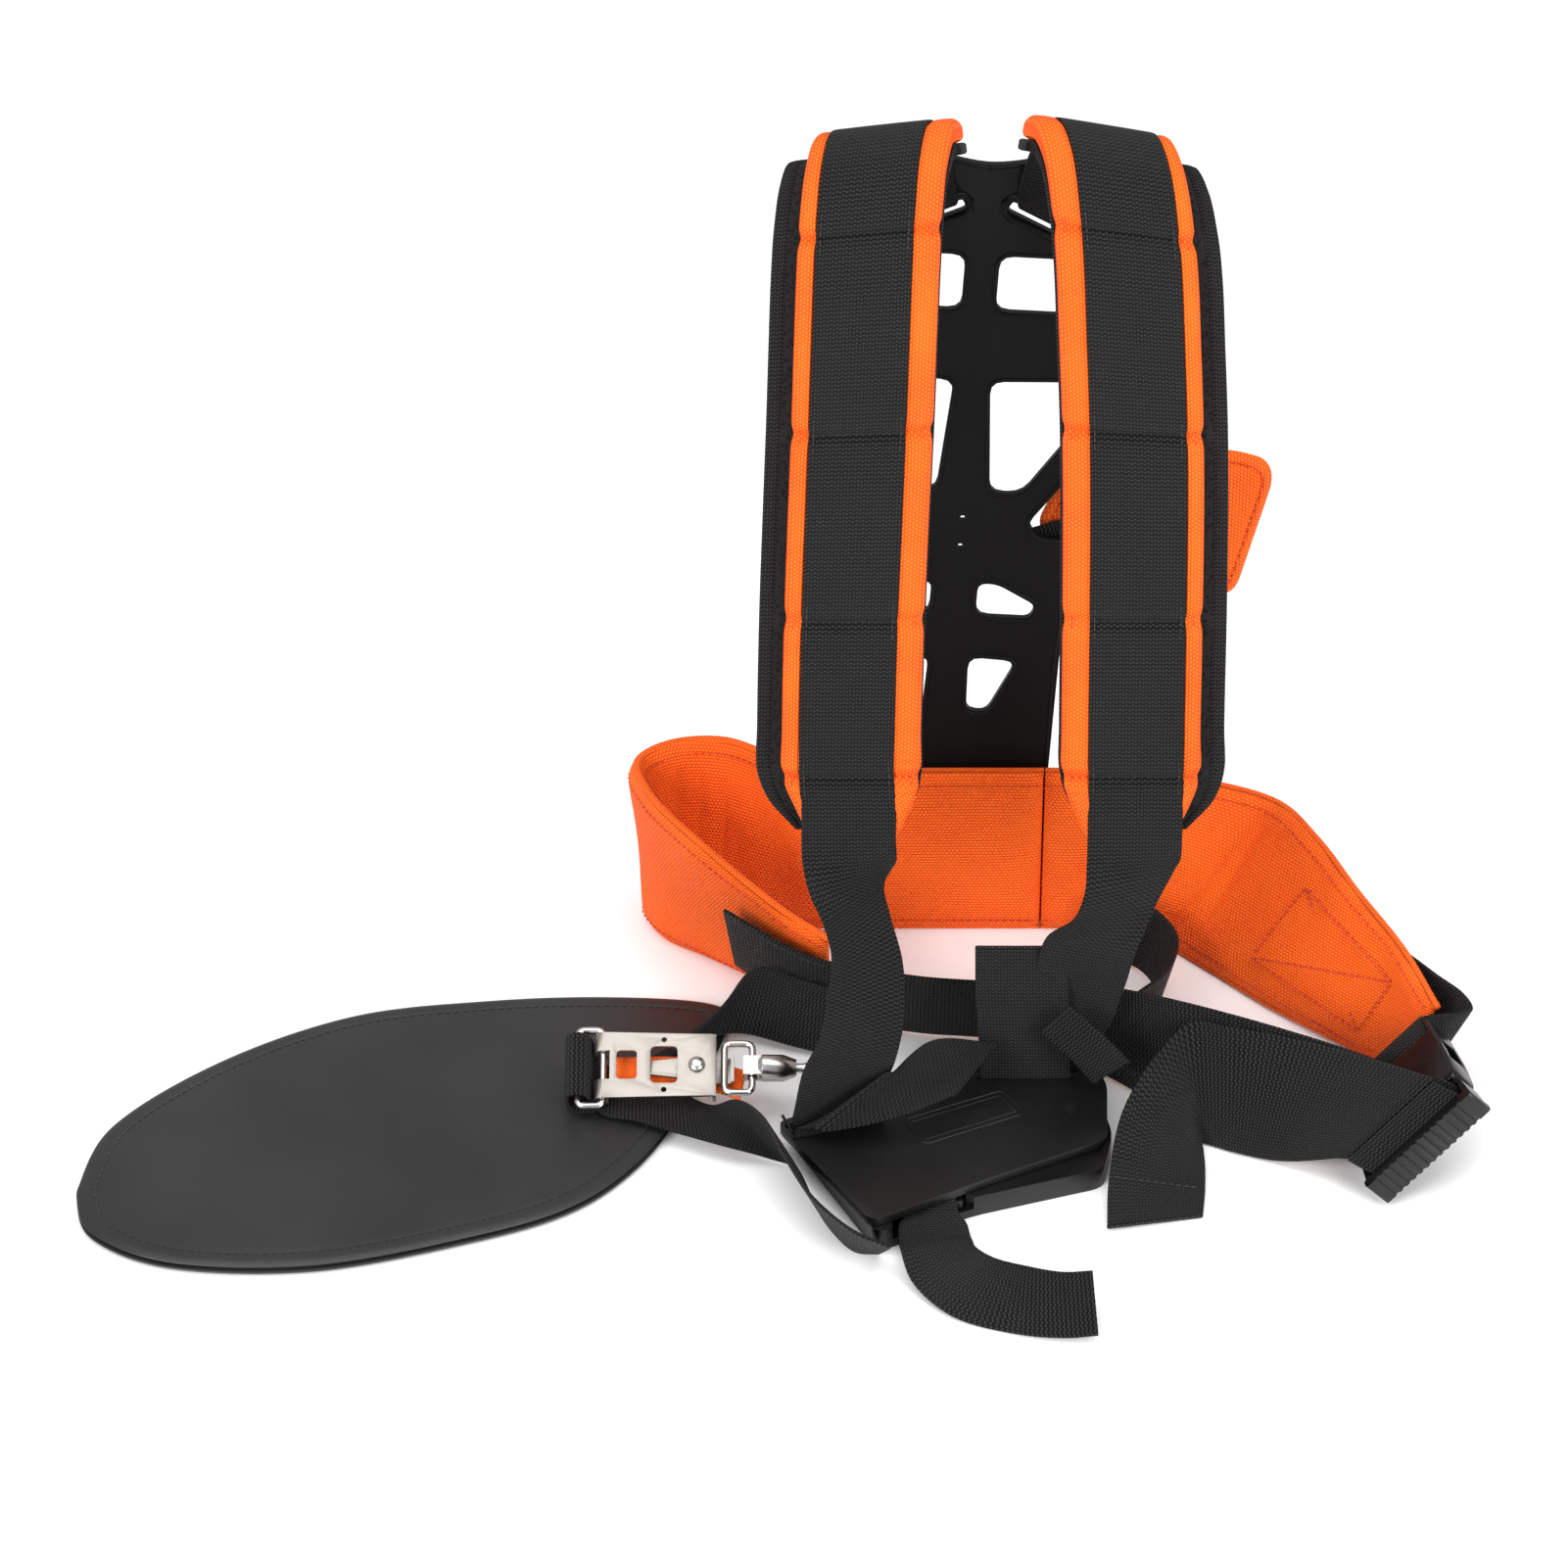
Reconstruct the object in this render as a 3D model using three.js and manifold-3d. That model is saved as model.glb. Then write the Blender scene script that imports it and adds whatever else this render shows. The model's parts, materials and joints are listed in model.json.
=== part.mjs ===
// Double-shoulder brushcutter harness, laid out on the ground with its shoulder pads standing up.
// Millimetres. +Z is up, +X runs along the waist belt, -Y is the wearer's chest side.
// The origin is on the ground, under the middle of the whole harness.
import * as THREE from 'three';
import { mergeVertices } from 'three/addons/utils/BufferGeometryUtils.js';
import Module from 'manifold-3d';

const wasm = await Module();
wasm.setup();

// ---------------------------------------------------------------- driving dimensions
const GAP = 0.3; // clearance between touching pieces
const WAIST_WEB = 52; // width of the waist webbing
const SHOULDER_WEB = 41; // width of the shoulder webbing
const CHEST_WEB = 31; // width of the pull strap and hip strap
const WEB = 1.6; // thickness of every webbing

const PAD_SHELL = 7; // thickness of the orange shoulder pad shell
const PAD_LINING = 4; // thickness of the black lining behind it
const SHELL_WIDTH = 60;
const LINING_WIDTH = 70;
const PAD_CUT = 40; // width of the pad's chamfered lower end

const BELT_THICK = 9;
const PLATE_THICK = 3;
const PLATE_LEAN = THREE.MathUtils.degToRad(3.3);
const PLATE_FOOT = 66; // x of the plate's centre line at ground level

const HIP_LAYER = 3; // thickness of the hip pad's cover, and of its backing
const CHEST_PLATE = 4;
const CHEST_TOP = 15; // height of the chest plate's upper face

const WIRE = 3.2; // diameter of the steel wire rings
const CHAIN_TILT = THREE.MathUtils.degToRad(28);
const CHAIN_PIN = [-80, -149, 22]; // middle of the cross pin
const BRACKET_LENGTH = 50;
const BRACKET_WIDTH = 32;
const SHEET = 1.5; // thickness of the pressed steel

const BUCKLE_BAR = [277, -213, 28.8]; // middle of the buckle's ribbed bar
const BUCKLE_WIDTH = 62;

// ---------------------------------------------------------------- materials
const finish = (color, roughness, metalness = 0) =>
  new THREE.MeshStandardMaterial({ color, roughness, metalness });
const orangeNylon = finish(0xff5a0f, 0.75);
const orangeTape = finish(0xff6a1c, 0.8);
const blackWebbing = finish(0x1b1b1c, 0.85);
const blackMesh = finish(0x141415, 0.95);
const blackPlastic = finish(0x17171a, 0.42);
const leatherette = finish(0x1e1e20, 0.45);
const steel = finish(0xc9c6c0, 0.25, 1);

// ---------------------------------------------------------------- geometry helpers
const vec = ([x, y, z]) => new THREE.Vector3(x, y, z);

function closedGeometry(positions, triangles) {
  let volume = 0;
  const [a, b, c] = [new THREE.Vector3(), new THREE.Vector3(), new THREE.Vector3()];
  for (const [i, j, k] of triangles) {
    a.copy(positions[i]);
    b.copy(positions[j]);
    c.copy(positions[k]);
    volume += a.dot(b.cross(c));
  }
  const facing = volume > 0 ? triangles : triangles.map(([i, j, k]) => [i, k, j]);
  const geometry = new THREE.BufferGeometry();
  const flat = positions.flatMap((p) => [p.x, p.y, p.z]);
  geometry.setAttribute('position', new THREE.Float32BufferAttribute(flat, 3));
  geometry.setIndex(facing.flat());
  return geometry;
}

// Joins a row of equal polygons into one closed skin; a loop joins the last to the first.
// Each side's diagonal runs one way, or the other where flip says so.
function skin(rings, loop = false, flip = () => false) {
  const sides = rings[0].length;
  const triangles = [];
  const spans = loop ? rings.length : rings.length - 1;
  for (let r = 0; r < spans; r += 1) {
    const here = r * sides;
    const next = ((r + 1) % rings.length) * sides;
    for (let s = 0; s < sides; s += 1) {
      const t = (s + 1) % sides;
      if (flip(s, t)) triangles.push([here + s, here + t, next + s], [here + t, next + t, next + s]);
      else triangles.push([here + s, here + t, next + t], [here + s, next + t, next + s]);
    }
  }
  if (!loop) {
    const last = (rings.length - 1) * sides;
    for (let s = 1; s < sides - 1; s += 1) {
      triangles.push([0, s + 1, s], [last, last + s, last + s + 1]);
    }
  }
  return closedGeometry(rings.flat(), triangles);
}

const FLAT = [[-0.5, -0.5], [0.5, -0.5], [0.5, 0.5], [-0.5, 0.5]];
const PADDED = [
  [-0.5, -0.2], [-0.46, -0.5], [0.46, -0.5], [0.5, -0.2],
  [0.5, 0.2], [0.46, 0.5], [-0.46, 0.5], [-0.5, 0.2],
];

// A band between two edge lines. Both lines have the same number of points.
function band(edgeA, edgeB, thickness, { steps = 3, offset = 0, section = FLAT } = {}) {
  const curveA = new THREE.CatmullRomCurve3(edgeA.map(vec), false, 'centripetal');
  const curveB = new THREE.CatmullRomCurve3(edgeB.map(vec), false, 'centripetal');
  const count = (edgeA.length - 1) * steps;
  const middle = (u) => curveA.getPoint(u).add(curveB.getPoint(u)).multiplyScalar(0.5);
  const reach = 0.35 / count;
  const rings = [];
  for (let i = 0; i <= count; i += 1) {
    const u = i / count;
    const across = curveB.getPoint(u).sub(curveA.getPoint(u));
    const along = middle(Math.min(1, u + reach)).sub(middle(Math.max(0, u - reach)));
    const normal = across.clone().cross(along).normalize();
    const centre = middle(u).addScaledVector(normal, offset);
    rings.push(section.map(([s, t]) => centre.clone()
      .addScaledVector(across, s)
      .addScaledVector(normal, t * thickness)));
  }
  // both faces get the same diagonals, so a twisted band keeps its thickness
  return skin(rings, false, (s, t) => section[t][0] < section[s][0]);
}

// A strap along centre points; each station is [centre, direction across, width].
function strap(stations, width, thickness, options) {
  const half = ([, across, own = width]) => vec(across).normalize().multiplyScalar(own / 2);
  const edge = (side) => stations.map((station) =>
    vec(station[0]).addScaledVector(half(station), side).toArray());
  return band(edge(-1), edge(1), thickness, options);
}

// A round bar bent along a line of points; a loop closes on itself.
function wire(points, diameter, { sides = 8, steps = 3, loop = false } = {}) {
  const curve = new THREE.CatmullRomCurve3(points.map(vec), loop, 'centripetal');
  const count = (loop ? points.length : points.length - 1) * steps;
  const frames = curve.computeFrenetFrames(count, loop);
  const rings = [];
  for (let i = 0; i < count + (loop ? 0 : 1); i += 1) {
    const centre = curve.getPointAt(i / count);
    rings.push(Array.from({ length: sides }, (_, s) => {
      const turn = (s / sides) * 2 * Math.PI;
      return centre.clone()
        .addScaledVector(frames.normals[i], (Math.cos(turn) * diameter) / 2)
        .addScaledVector(frames.binormals[i], (Math.sin(turn) * diameter) / 2);
    }));
  }
  return skin(rings, loop);
}

// A rectangular wire ring in the XY plane, from x0 to x1 and half as wide as `half` each way.
function wireRing(x0, x1, half, diameter) {
  const r = Math.min(3, (x1 - x0) / 4);
  const corner = (x, y, dx, dy) => [
    [x - dx * r, y, 0], [x - dx * r * 0.3, y - dy * r * 0.3, 0], [x, y - dy * r, 0],
  ];
  const points = [
    ...corner(x1, -half, 1, -1), [x1, 0, 0], ...corner(x1, half, 1, 1).reverse(),
    ...corner(x0, half, -1, 1), [x0, 0, 0], ...corner(x0, -half, -1, -1).reverse(),
  ];
  return wire(points, diameter, { loop: true, steps: 2 });
}

function outline(points) {
  const shape = new THREE.Shape();
  shape.moveTo(...points[0]);
  points.slice(1).forEach((p) => shape.lineTo(...p));
  shape.closePath();
  return shape;
}

// A polygon with every corner rounded.
function rounded(points, radius) {
  const shape = new THREE.Shape();
  const n = points.length;
  points.forEach((p, i) => {
    const here = new THREE.Vector2(...p);
    const before = new THREE.Vector2(...points[(i + n - 1) % n]);
    const after = new THREE.Vector2(...points[(i + 1) % n]);
    const cut = Math.min(radius, before.distanceTo(here) / 2.2, after.distanceTo(here) / 2.2);
    const start = here.clone().add(before.sub(here).setLength(cut));
    const end = here.clone().add(after.sub(here).setLength(cut));
    if (i === 0) shape.moveTo(start.x, start.y);
    else shape.lineTo(start.x, start.y);
    shape.quadraticCurveTo(here.x, here.y, end.x, end.y);
  });
  shape.closePath();
  return shape;
}

function slab(shape, z0, z1, curveSegments = 4) {
  const options = { depth: z1 - z0, bevelEnabled: false, curveSegments };
  const geometry = new THREE.ExtrudeGeometry(shape, options);
  geometry.translate(0, 0, z0);
  return geometry;
}

const box = (x0, x1, y0, y1, z0, z1) =>
  new THREE.BoxGeometry(x1 - x0, y1 - y0, z1 - z0)
    .translate((x0 + x1) / 2, (y0 + y1) / 2, (z0 + z1) / 2);

function solid(geometry) {
  const bare = geometry.clone();
  bare.deleteAttribute('normal');
  bare.deleteAttribute('uv');
  const merged = mergeVertices(bare, 1e-4);
  return new wasm.Manifold(new wasm.Mesh({
    numProp: 3,
    vertProperties: new Float32Array(merged.attributes.position.array),
    triVerts: new Uint32Array(merged.index.array),
  }));
}

function fromSolid(manifold) {
  const mesh = manifold.getMesh();
  const geometry = new THREE.BufferGeometry();
  const positions = new Float32Array(mesh.vertProperties);
  geometry.setAttribute('position', new THREE.BufferAttribute(positions, 3));
  geometry.setIndex(Array.from(mesh.triVerts));
  return geometry;
}

const cut = (body, ...tools) =>
  fromSolid(tools.reduce((left, tool) => left.subtract(solid(tool)), solid(body)));
const join = (body, ...more) =>
  fromSolid(more.reduce((left, next) => left.add(solid(next)), solid(body)));

const harness = new THREE.Group();
function add(name, geometry, material, parent = harness) {
  const mesh = new THREE.Mesh(geometry, material);
  mesh.name = name;
  parent.add(mesh);
  return mesh;
}

// ---------------------------------------------------------------- back plate
// Drawn in the plate's own frame: its centre line is x = 0 and its foot is y = 0.
const PLATE_BOTTOM = 8;
const PLATE_TOP = 397;
const plateSide = [
  [50, PLATE_BOTTOM], [50, 160], [58, 225], [62, 300], [62, 372], [50, 392], [23, PLATE_TOP],
];
const plateDip = [[11, 394], [0, 392.6], [-11, 394]];
const mirror = (points) => points.map(([x, y]) => [-x, y]).reverse();

const plateWindows = [
  [[7.5, 322], [44, 322], [44, 349], [7.5, 349]],
  [[8, 287], [47, 289], [47, 264], [26, 231], [12, 231]],
  [[30, 216], [50, 246], [50, 209], [36, 209]],
  [[10.5, 184], [19, 184], [37, 174], [35, 167], [10.5, 167]],
  [[9, 145], [31, 144], [19, 116], [10, 117]],
];
const strapSlot = [[10.5, 376], [53, 356], [51, 351.5], [9, 371.5]];

function backPlate() {
  const shape = rounded([...plateSide, ...plateDip, ...mirror(plateSide)], 12);
  const holes = plateWindows.map((w) => [w, 6]);
  holes.push([strapSlot, 2]);
  holes.forEach(([points, radius]) => {
    shape.holes.push(rounded(points, radius), rounded(mirror(points), radius));
  });
  [217.5, 203].forEach((height) => {
    shape.holes.push(new THREE.Path().absarc(1, height, 1.4, 0, 2 * Math.PI));
  });
  const geometry = slab(shape, -PLATE_THICK / 2, PLATE_THICK / 2, 3);
  return geometry.rotateX(Math.PI / 2).rotateY(PLATE_LEAN).translate(PLATE_FOOT, 0, 0);
}
add('back_plate', backPlate(), blackPlastic);

const loadPadOutline = [
  [112, 208], [124, 234], [160, 246], [198, 247], [215, 242], [218, 232], [203, 172], [150, 170],
];
const loadPad = slab(rounded(loadPadOutline, 6), -4, 4, 2).rotateX(Math.PI / 2);
add('load_pad', loadPad.translate(0, 8, 0), orangeNylon);
const loadStrap = [[150, 213], [126, 205], [102, 197]].map(([x, z]) => [[x, 2.8, z], [-0.3, 0, 0.95]]);
add('load_strap', strap(loadStrap, CHEST_WEB * 0.6, WEB), blackWebbing);

// ---------------------------------------------------------------- shoulder pads
// Side view of the shoulder webbing's middle line over the pad, as [y, z], plate to chest.
const ARCH = [
  [-9, 382], [-14, 397], [-25, 413], [-40, 427], [-54, 432], [-68, 425], [-80, 408],
  [-87, 388], [-93, 355], [-99, 320], [-104, 291], [-115, 232], [-124, 181], [-128, 161],
  [-131, 147], [-133, 134],
];
const ARCH_X = {
  left: [53, 51, 47, 43, 39, 36, 34, 33, 32, 31, 30, 28, 27, 27, 28, 28],
  right: [121, 124, 128, 132, 136, 140, 143, 145, 147, 149, 150, 151, 151.5, 152, 152, 152],
};
const ARCH_TILT = { left: 0.12, right: -0.18 }; // rise per unit of x over the top, gone on the chest side
const archTilt = (side, i) => ARCH_TILT[side] * Math.min(1, Math.max(0, (11 - i) / 6));
const archStations = (side, shift, widths) => ARCH.map(([y, z], i) => {
  const tilt = archTilt(side, i);
  return [[ARCH_X[side][i] + shift, y, z + shift * tilt], [1, 0, tilt], widths(i)];
});
const PAD_START = 3; // the pads begin just behind the top of the arch; the webbing goes on alone
const padWidth = (full) => (i) => {
  if (i === ARCH.length - 1) return PAD_CUT;
  if (i === ARCH.length - 2) return full - 9;
  return full;
};

function shoulderPad(side, inward) {
  const shellOffset = WEB / 2 + GAP + PAD_SHELL / 2;
  const liningOffset = shellOffset + PAD_SHELL / 2 + GAP + PAD_LINING / 2;
  const along = (shift, full) => archStations(side, shift, padWidth(full)).slice(PAD_START);
  const shell = strap(along(2 * inward, SHELL_WIDTH), SHELL_WIDTH,
    PAD_SHELL, { steps: 2, offset: shellOffset, section: PADDED });
  const lining = strap(along(-3 * inward, LINING_WIDTH), LINING_WIDTH,
    PAD_LINING, { steps: 2, offset: liningOffset });
  add(`shoulder_pad_${side}`, shell, orangeNylon);
  add(`shoulder_lining_${side}`, lining, blackMesh);
}
shoulderPad('left', 1);
shoulderPad('right', -1);

// ---------------------------------------------------------------- shoulder webbing
const LEFT_END = [
  [[28.3, -135.4, 123], [0.99, 0.1, 0]], [[28.3, -139, 116], [0.78, 0.62, 0]],
  [[28.4, -147, 109], [0.45, 0.9, 0]], [[32, -159, 100], [0.62, 0.78, 0]],
  [[34, -171, 86], [0.8, 0.6, 0]], [[33, -180, 68], [0.9, 0.43, 0]],
  [[28, -182, 49], [0.97, 0.2, 0]], [[23.5, -178.5, 30], [0.94, 0.34, 0]],
  [[21.5, -175.7, 14], [0.94, 0.34, 0]],
  [[21.8, -176.8, 7.6], [0.94, 0.34, 0]], [[23, -180, 5.6], [0.94, 0.34, 0]],
  [[24.2, -183.2, 7.6], [0.94, 0.34, 0]], [[24.4, -184, 13], [0.94, 0.34, 0]],
  [[24.6, -184.4, 18], [0.94, 0.34, 0.04]], [[30, -188, 31], [0.8, 0.25, 0.55]],
  [[53, -181, 38], [0.5, 0.62, 0.6]],
  [[84, -170, 35], [0.47, 0.88, 0.05]],
];
const RIGHT_END = [
  [[151.5, -135.4, 123], [0.99, 0.1, 0]], [[149, -139, 116], [0.85, 0.52, 0]],
  [[144, -143.5, 107], [0.7, 0.7, 0]],
  [[134, -145, 87.5], [0.97, 0.1, -0.25]], [[129.5, -141, 65], [0.98, 0.05, -0.15]],
  [[122, -138, 38], [1, 0, -0.1]], [[111, -137, 23], [1, 0, 0]],
  [[108, -136.5, 14], [1, 0, 0]], [[107.5, -138.5, 7.5], [1, 0, 0]],
  [[107, -142, 5.8], [1, 0, 0]], [[107, -145.5, 8], [1, 0, 0]],
  [[107, -146.5, 15], [1, 0, 0]], [[106, -147.5, 40], [1, 0, 0]],
  [[104.5, -147, 62], [1, 0, 0]], [[104, -146, 84], [1, 0, 0]],
];
function shoulderWebbing(side, slotX, slotZ, slope, end) {
  const across = [1, 0, slope];
  const slot = [[4.4, 21], [4.4, 8], [3.6, 2], [1.4, -0.1], [-1.5, -0.5], [-4.2, 0.6], [-7, 7]]
    .map(([y, rise]) => [[slotX, y, slotZ + rise], across]);
  const over = archStations(side, 0, () => SHOULDER_WEB);
  add(`shoulder_webbing_${side}`,
    strap([...slot, ...over, ...end], SHOULDER_WEB, WEB, { steps: 2 }), blackWebbing);
}
shoulderWebbing('left', 56, 365, 0.4, LEFT_END);
shoulderWebbing('right', 118, 361.4, -0.54, RIGHT_END);

// ---------------------------------------------------------------- waist belt
const SEAM_LEFT = 19; // x of the seam between the left wing and the back panel
const SEAM_RIGHT = 119;
const BELT_BACK = -6.8; // y of the belt's middle in front of the plate
const BELT_FOOT = 0.6;
const BELT_HEAD = 87;

const backLower = [[SEAM_LEFT + GAP, BELT_BACK, BELT_FOOT], [69, BELT_BACK, BELT_FOOT],
  [SEAM_RIGHT - GAP, BELT_BACK, BELT_FOOT]];
const backUpper = backLower.map(([x, y]) => [x, y, BELT_HEAD]);
add('belt_back_panel', band(backLower, backUpper, BELT_THICK, { section: PADDED }), orangeNylon);

const plateClearance = box(-50.5, 50.5, -5, 1.9, PLATE_BOTTOM - 0.5, 140).rotateY(PLATE_LEAN)
  .translate(PLATE_FOOT, 0, 0);
add('belt_pocket', cut(box(14, 124, -1.9, 4.4, 1, 78), plateClearance), orangeNylon);

const rightLower = [[SEAM_RIGHT + GAP, BELT_BACK, BELT_FOOT], [129, BELT_BACK, 0.7],
  [148, -6.4, 1], [173, -20, 1.4], [195, -43, 1.7], [222, -74, 2], [250, -101, 2.5], [275, -127, 3.4]];
const rightUpper = [[SEAM_RIGHT + GAP, BELT_BACK, BELT_HEAD], [129, BELT_BACK, BELT_HEAD],
  [154, -3, 85], [224, -10, 73],
  [242, -37, 70], [258, -70, 63], [276, -106, 56], [288, -140, 49]];
add('belt_wing_right', band(rightLower, rightUpper, BELT_THICK, { section: PADDED }), orangeNylon);

const leftLower = [[SEAM_LEFT - GAP, BELT_BACK, BELT_FOOT], [10, BELT_BACK, 0.6], [-4, -4.5, 0.8],
  [-28, 6, 1],
  [-50, 9, 1], [-61, 0, 1], [-54, -16, 1], [-36, -31, 2], [0, -59, 2.6], [20, -71, 3]];
const leftUpper = [[SEAM_LEFT - GAP, BELT_BACK, BELT_HEAD], [10, BELT_BACK, BELT_HEAD], [-4, 6, 86],
  [-28, 23, 85],
  [-52, 22, 84], [-67, 7, 84], [-61, -20, 83], [-38, -54, 79], [0, -81, 60], [20, -90, 51]];
add('belt_wing_left', band(leftLower, leftUpper, BELT_THICK, { section: PADDED }), orangeNylon);

// ---------------------------------------------------------------- waist webbing
const waistUpper = [[-27, -77, 58], [0, -93, 50], [14, -101, 48], [32, -108, 48], [62, -116, 48],
  [100, -120, 48], [140, -127, 51], [172, -133, 48], [232, -161, 47], [280.7, -196.8, 50.5]];
const waistLower = [[-22, -53, 11], [0, -69, 4], [14, -79, 1.6], [32, -85, 1.4], [62, -93, 1.4],
  [100, -99, 1.4], [140, -123, 1.4], [176, -157, 1.4], [214, -185, 2], [244.6, -205, 13.9]];
add('waist_webbing', band(waistUpper, waistLower, WEB, { steps: 2 }), blackWebbing);

const tailUpper = [[280.7, -201.6, 54.8], [236, -168, 48], [197, -153, 47], [179, -148, 46],
  [164, -160, 38], [148, -183, 24], [141, -212, 9], [139, -240, 3]];
const tailLower = [[244.6, -209.8, 18.2], [216, -192, 3], [196, -183, 1.4], [184, -177, 1.4],
  [184, -184, 2.4], [184, -195, 3], [183, -212, 2.2], [181, -230, 1.6]];
add('waist_tail', band(tailUpper, tailLower, WEB, { steps: 2 }), blackWebbing);

// ---------------------------------------------------------------- side-release buckle
// Drawn flat: X across the webbing, +Y towards the wing, Z out of the face.
const buckle = new THREE.Group();
const barAlong = new THREE.Vector3(0.694, 0.158, 0.702).normalize();
const toWing = new THREE.Vector3(-0.05, 0.98, 0.1);
toWing.addScaledVector(barAlong, -toWing.dot(barAlong)).normalize();
const faceOut = barAlong.clone().cross(toWing);
buckle.applyMatrix4(new THREE.Matrix4().makeBasis(barAlong, toWing, faceOut));
buckle.position.set(...BUCKLE_BAR);
harness.add(buckle);

const PLUG_HALF = BUCKLE_WIDTH / 2;
const SOCKET_MOUTH = 13;
const SOCKET_END = 58;
const PRONG_END = 43;

function buckleFrame() {
  const rim = slab(rounded([[-PLUG_HALF, -5], [PLUG_HALF, -5], [PLUG_HALF - 2, 12.5],
    [2 - PLUG_HALF, 12.5]], 4), -5.5, 5.5);
  const ribbedBar = slab(rounded([[-PLUG_HALF, -5], [PLUG_HALF, -5], [PLUG_HALF, -0.5],
    [-PLUG_HALF, -0.5]], 1.5), -7, 7);
  const ladder = [
    box(-27.3, 27.3, -0.5, 3.4, -9, 9),
    box(-27.3, 27.3, 6.2, 10, -9, 9),
    box(-27.3, 27.3, 3, 6.6, 2, 9),
    box(-27.3, 27.3, 3, 6.6, -9, -2),
  ];
  const tongue = box(-5, 5, 10, 38, -2.5, 2.5);
  const grooves = Array.from({ length: 13 }, (_, i) =>
    box(-25.3 + i * 4, -23.3 + i * 4, -6, -4.2, -9, 9));
  return cut(join(rim, ribbedBar, tongue), ...ladder, ...grooves);
}
add('buckle_plug', buckleFrame(), blackPlastic, buckle);

function prong(side) {
  const arm = [[19.5, 12.9], [25, 12.9], [26.9, 24], [26.9, 40], [24, PRONG_END], [22, 40], [22.5, 24]];
  const shape = rounded(arm.map(([x, y]) => [x * side, y]), 1.5);
  return slab(shape, -4, 4, 2);
}
add('buckle_prong_left', prong(-1), blackPlastic, buckle);
add('buckle_prong_right', prong(1), blackPlastic, buckle);

function buckleSocket() {
  const shell = slab(rounded([[-29, SOCKET_MOUTH], [29, SOCKET_MOUTH], [30, 30], [29, SOCKET_END],
    [-29, SOCKET_END], [-30, 30]], 4), -7, 7);
  const cavity = box(-27.4, 27.4, SOCKET_MOUTH - 1, 46, -4.6, 4.6);
  const windows = box(-40, 40, 27, 42, -4.6, 4.6);
  const webSlot = box(-27, 27, 49.5, 54, -9, 9);
  const overBar = box(-27, 27, 49.5, 60, 2.5, 9);
  const underBar = box(-27, 27, 49.5, 60, -9, -2.5);
  return cut(shell, cavity, windows, webSlot, overBar, underBar);
}
add('buckle_socket', buckleSocket(), blackPlastic, buckle);

// The webbing's turn round the ladder's inner bar, side on as [y, z].
const barTurn = [[14, 11], [10.4, 9.2], [8.5, 6], [8.1, 1], [7.2, -3], [4.8, -4.1], [2.4, -3],
  [1.45, 1], [1.5, 6], [4.2, 10.8], [9, 14.4]];
const TURN_LEAN = -0.6; // the webbing leaves the ladder at a slant
const turnStation = ([y, z]) => [[TURN_LEAN * Math.max(0, z - 7), y, z], [1, 0, 0]];
add('waist_webbing_turn', strap(barTurn.map(turnStation), WAIST_WEB, WEB, { steps: 2 }),
  blackWebbing, buckle);

buckle.updateMatrixWorld(true);
const fromBuckle = ([x, y, z]) =>
  [new THREE.Vector3(x, y, z).applyMatrix4(buckle.matrixWorld).toArray(), barAlong.toArray()];
const socketTurn = [[0, 63, 4.6], [0, 56, 4.4], [0, 52.2, 3.2], [0, 51.2, 0],
  [0, 52.4, -3.4], [0, 57, -4.2], [0, 61, -3.6]];
const onWing = [
  [[268, -98, 27], [0.4, -0.1, 0.9]], [[281, -113, 26], [0.35, -0.15, 0.92]],
  [[291, -128, 25.5], [0.35, -0.1, 0.92]], [[292.5, -139.5, 26], [0.4, -0.1, 0.9]],
  [[284, -146, 28], [0.5, 0, 0.85]],
];
add('socket_webbing',
  strap([...onWing, ...socketTurn.map(fromBuckle)], WAIST_WEB, WEB, { steps: 2 }), blackWebbing);

// ---------------------------------------------------------------- chest plate
const chestOutline = [[-4, -179], [44, -159], [88, -131], [135, -131], [143, -150], [141, -192],
  [89, -220], [37, -251]];
const baseOutline = [[1, -172], [40, -254], [80, -229], [139, -208], [144, -182], [138, -150],
  [92, -140], [52, -150], [14, -172]];

const slotAt = (x, y, length, turn) => {
  const half = length / 2;
  const bar = (shift) => box(-half, half, shift - 1.6, shift + 1.6, -5, 30)
    .rotateZ(turn).translate(x, y, 0);
  return [bar(4.6), bar(-4.6)];
};
const leftSlots = slotAt(23, -180, 44, 0.34);
const rightSlots = slotAt(107.3, -141.6, 44, 0);

add('chest_plate', cut(
  slab(rounded(chestOutline, 7), CHEST_TOP - CHEST_PLATE, CHEST_TOP), ...leftSlots, ...rightSlots,
), blackPlastic);

const well = (x, y, turn) => box(-23, 23, -9, 9, 3.6, 30).rotateZ(turn).translate(x, y, 0);
const tongueChannel = join(box(49.5, 78.5, -240, -180, 4.5, 30), box(46.5, 82, -260, -226, 4.5, 30));
add('chest_base', cut(
  slab(rounded(baseOutline, 6), 0.5, CHEST_TOP - CHEST_PLATE - GAP),
  well(23, -180, 0.34), well(107.3, -141.6, 0), tongueChannel,
), blackPlastic);

const tongue = cut(
  slab(rounded([[50.5, -229], [77.5, -229], [77.5, -196], [72, -184], [56, -184], [50.5, -196]], 2),
    4.9, 8.5),
  box(53, 75, -225, -221.2, 0, 20),
);
add('release_tongue', tongue, blackPlastic);

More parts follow.
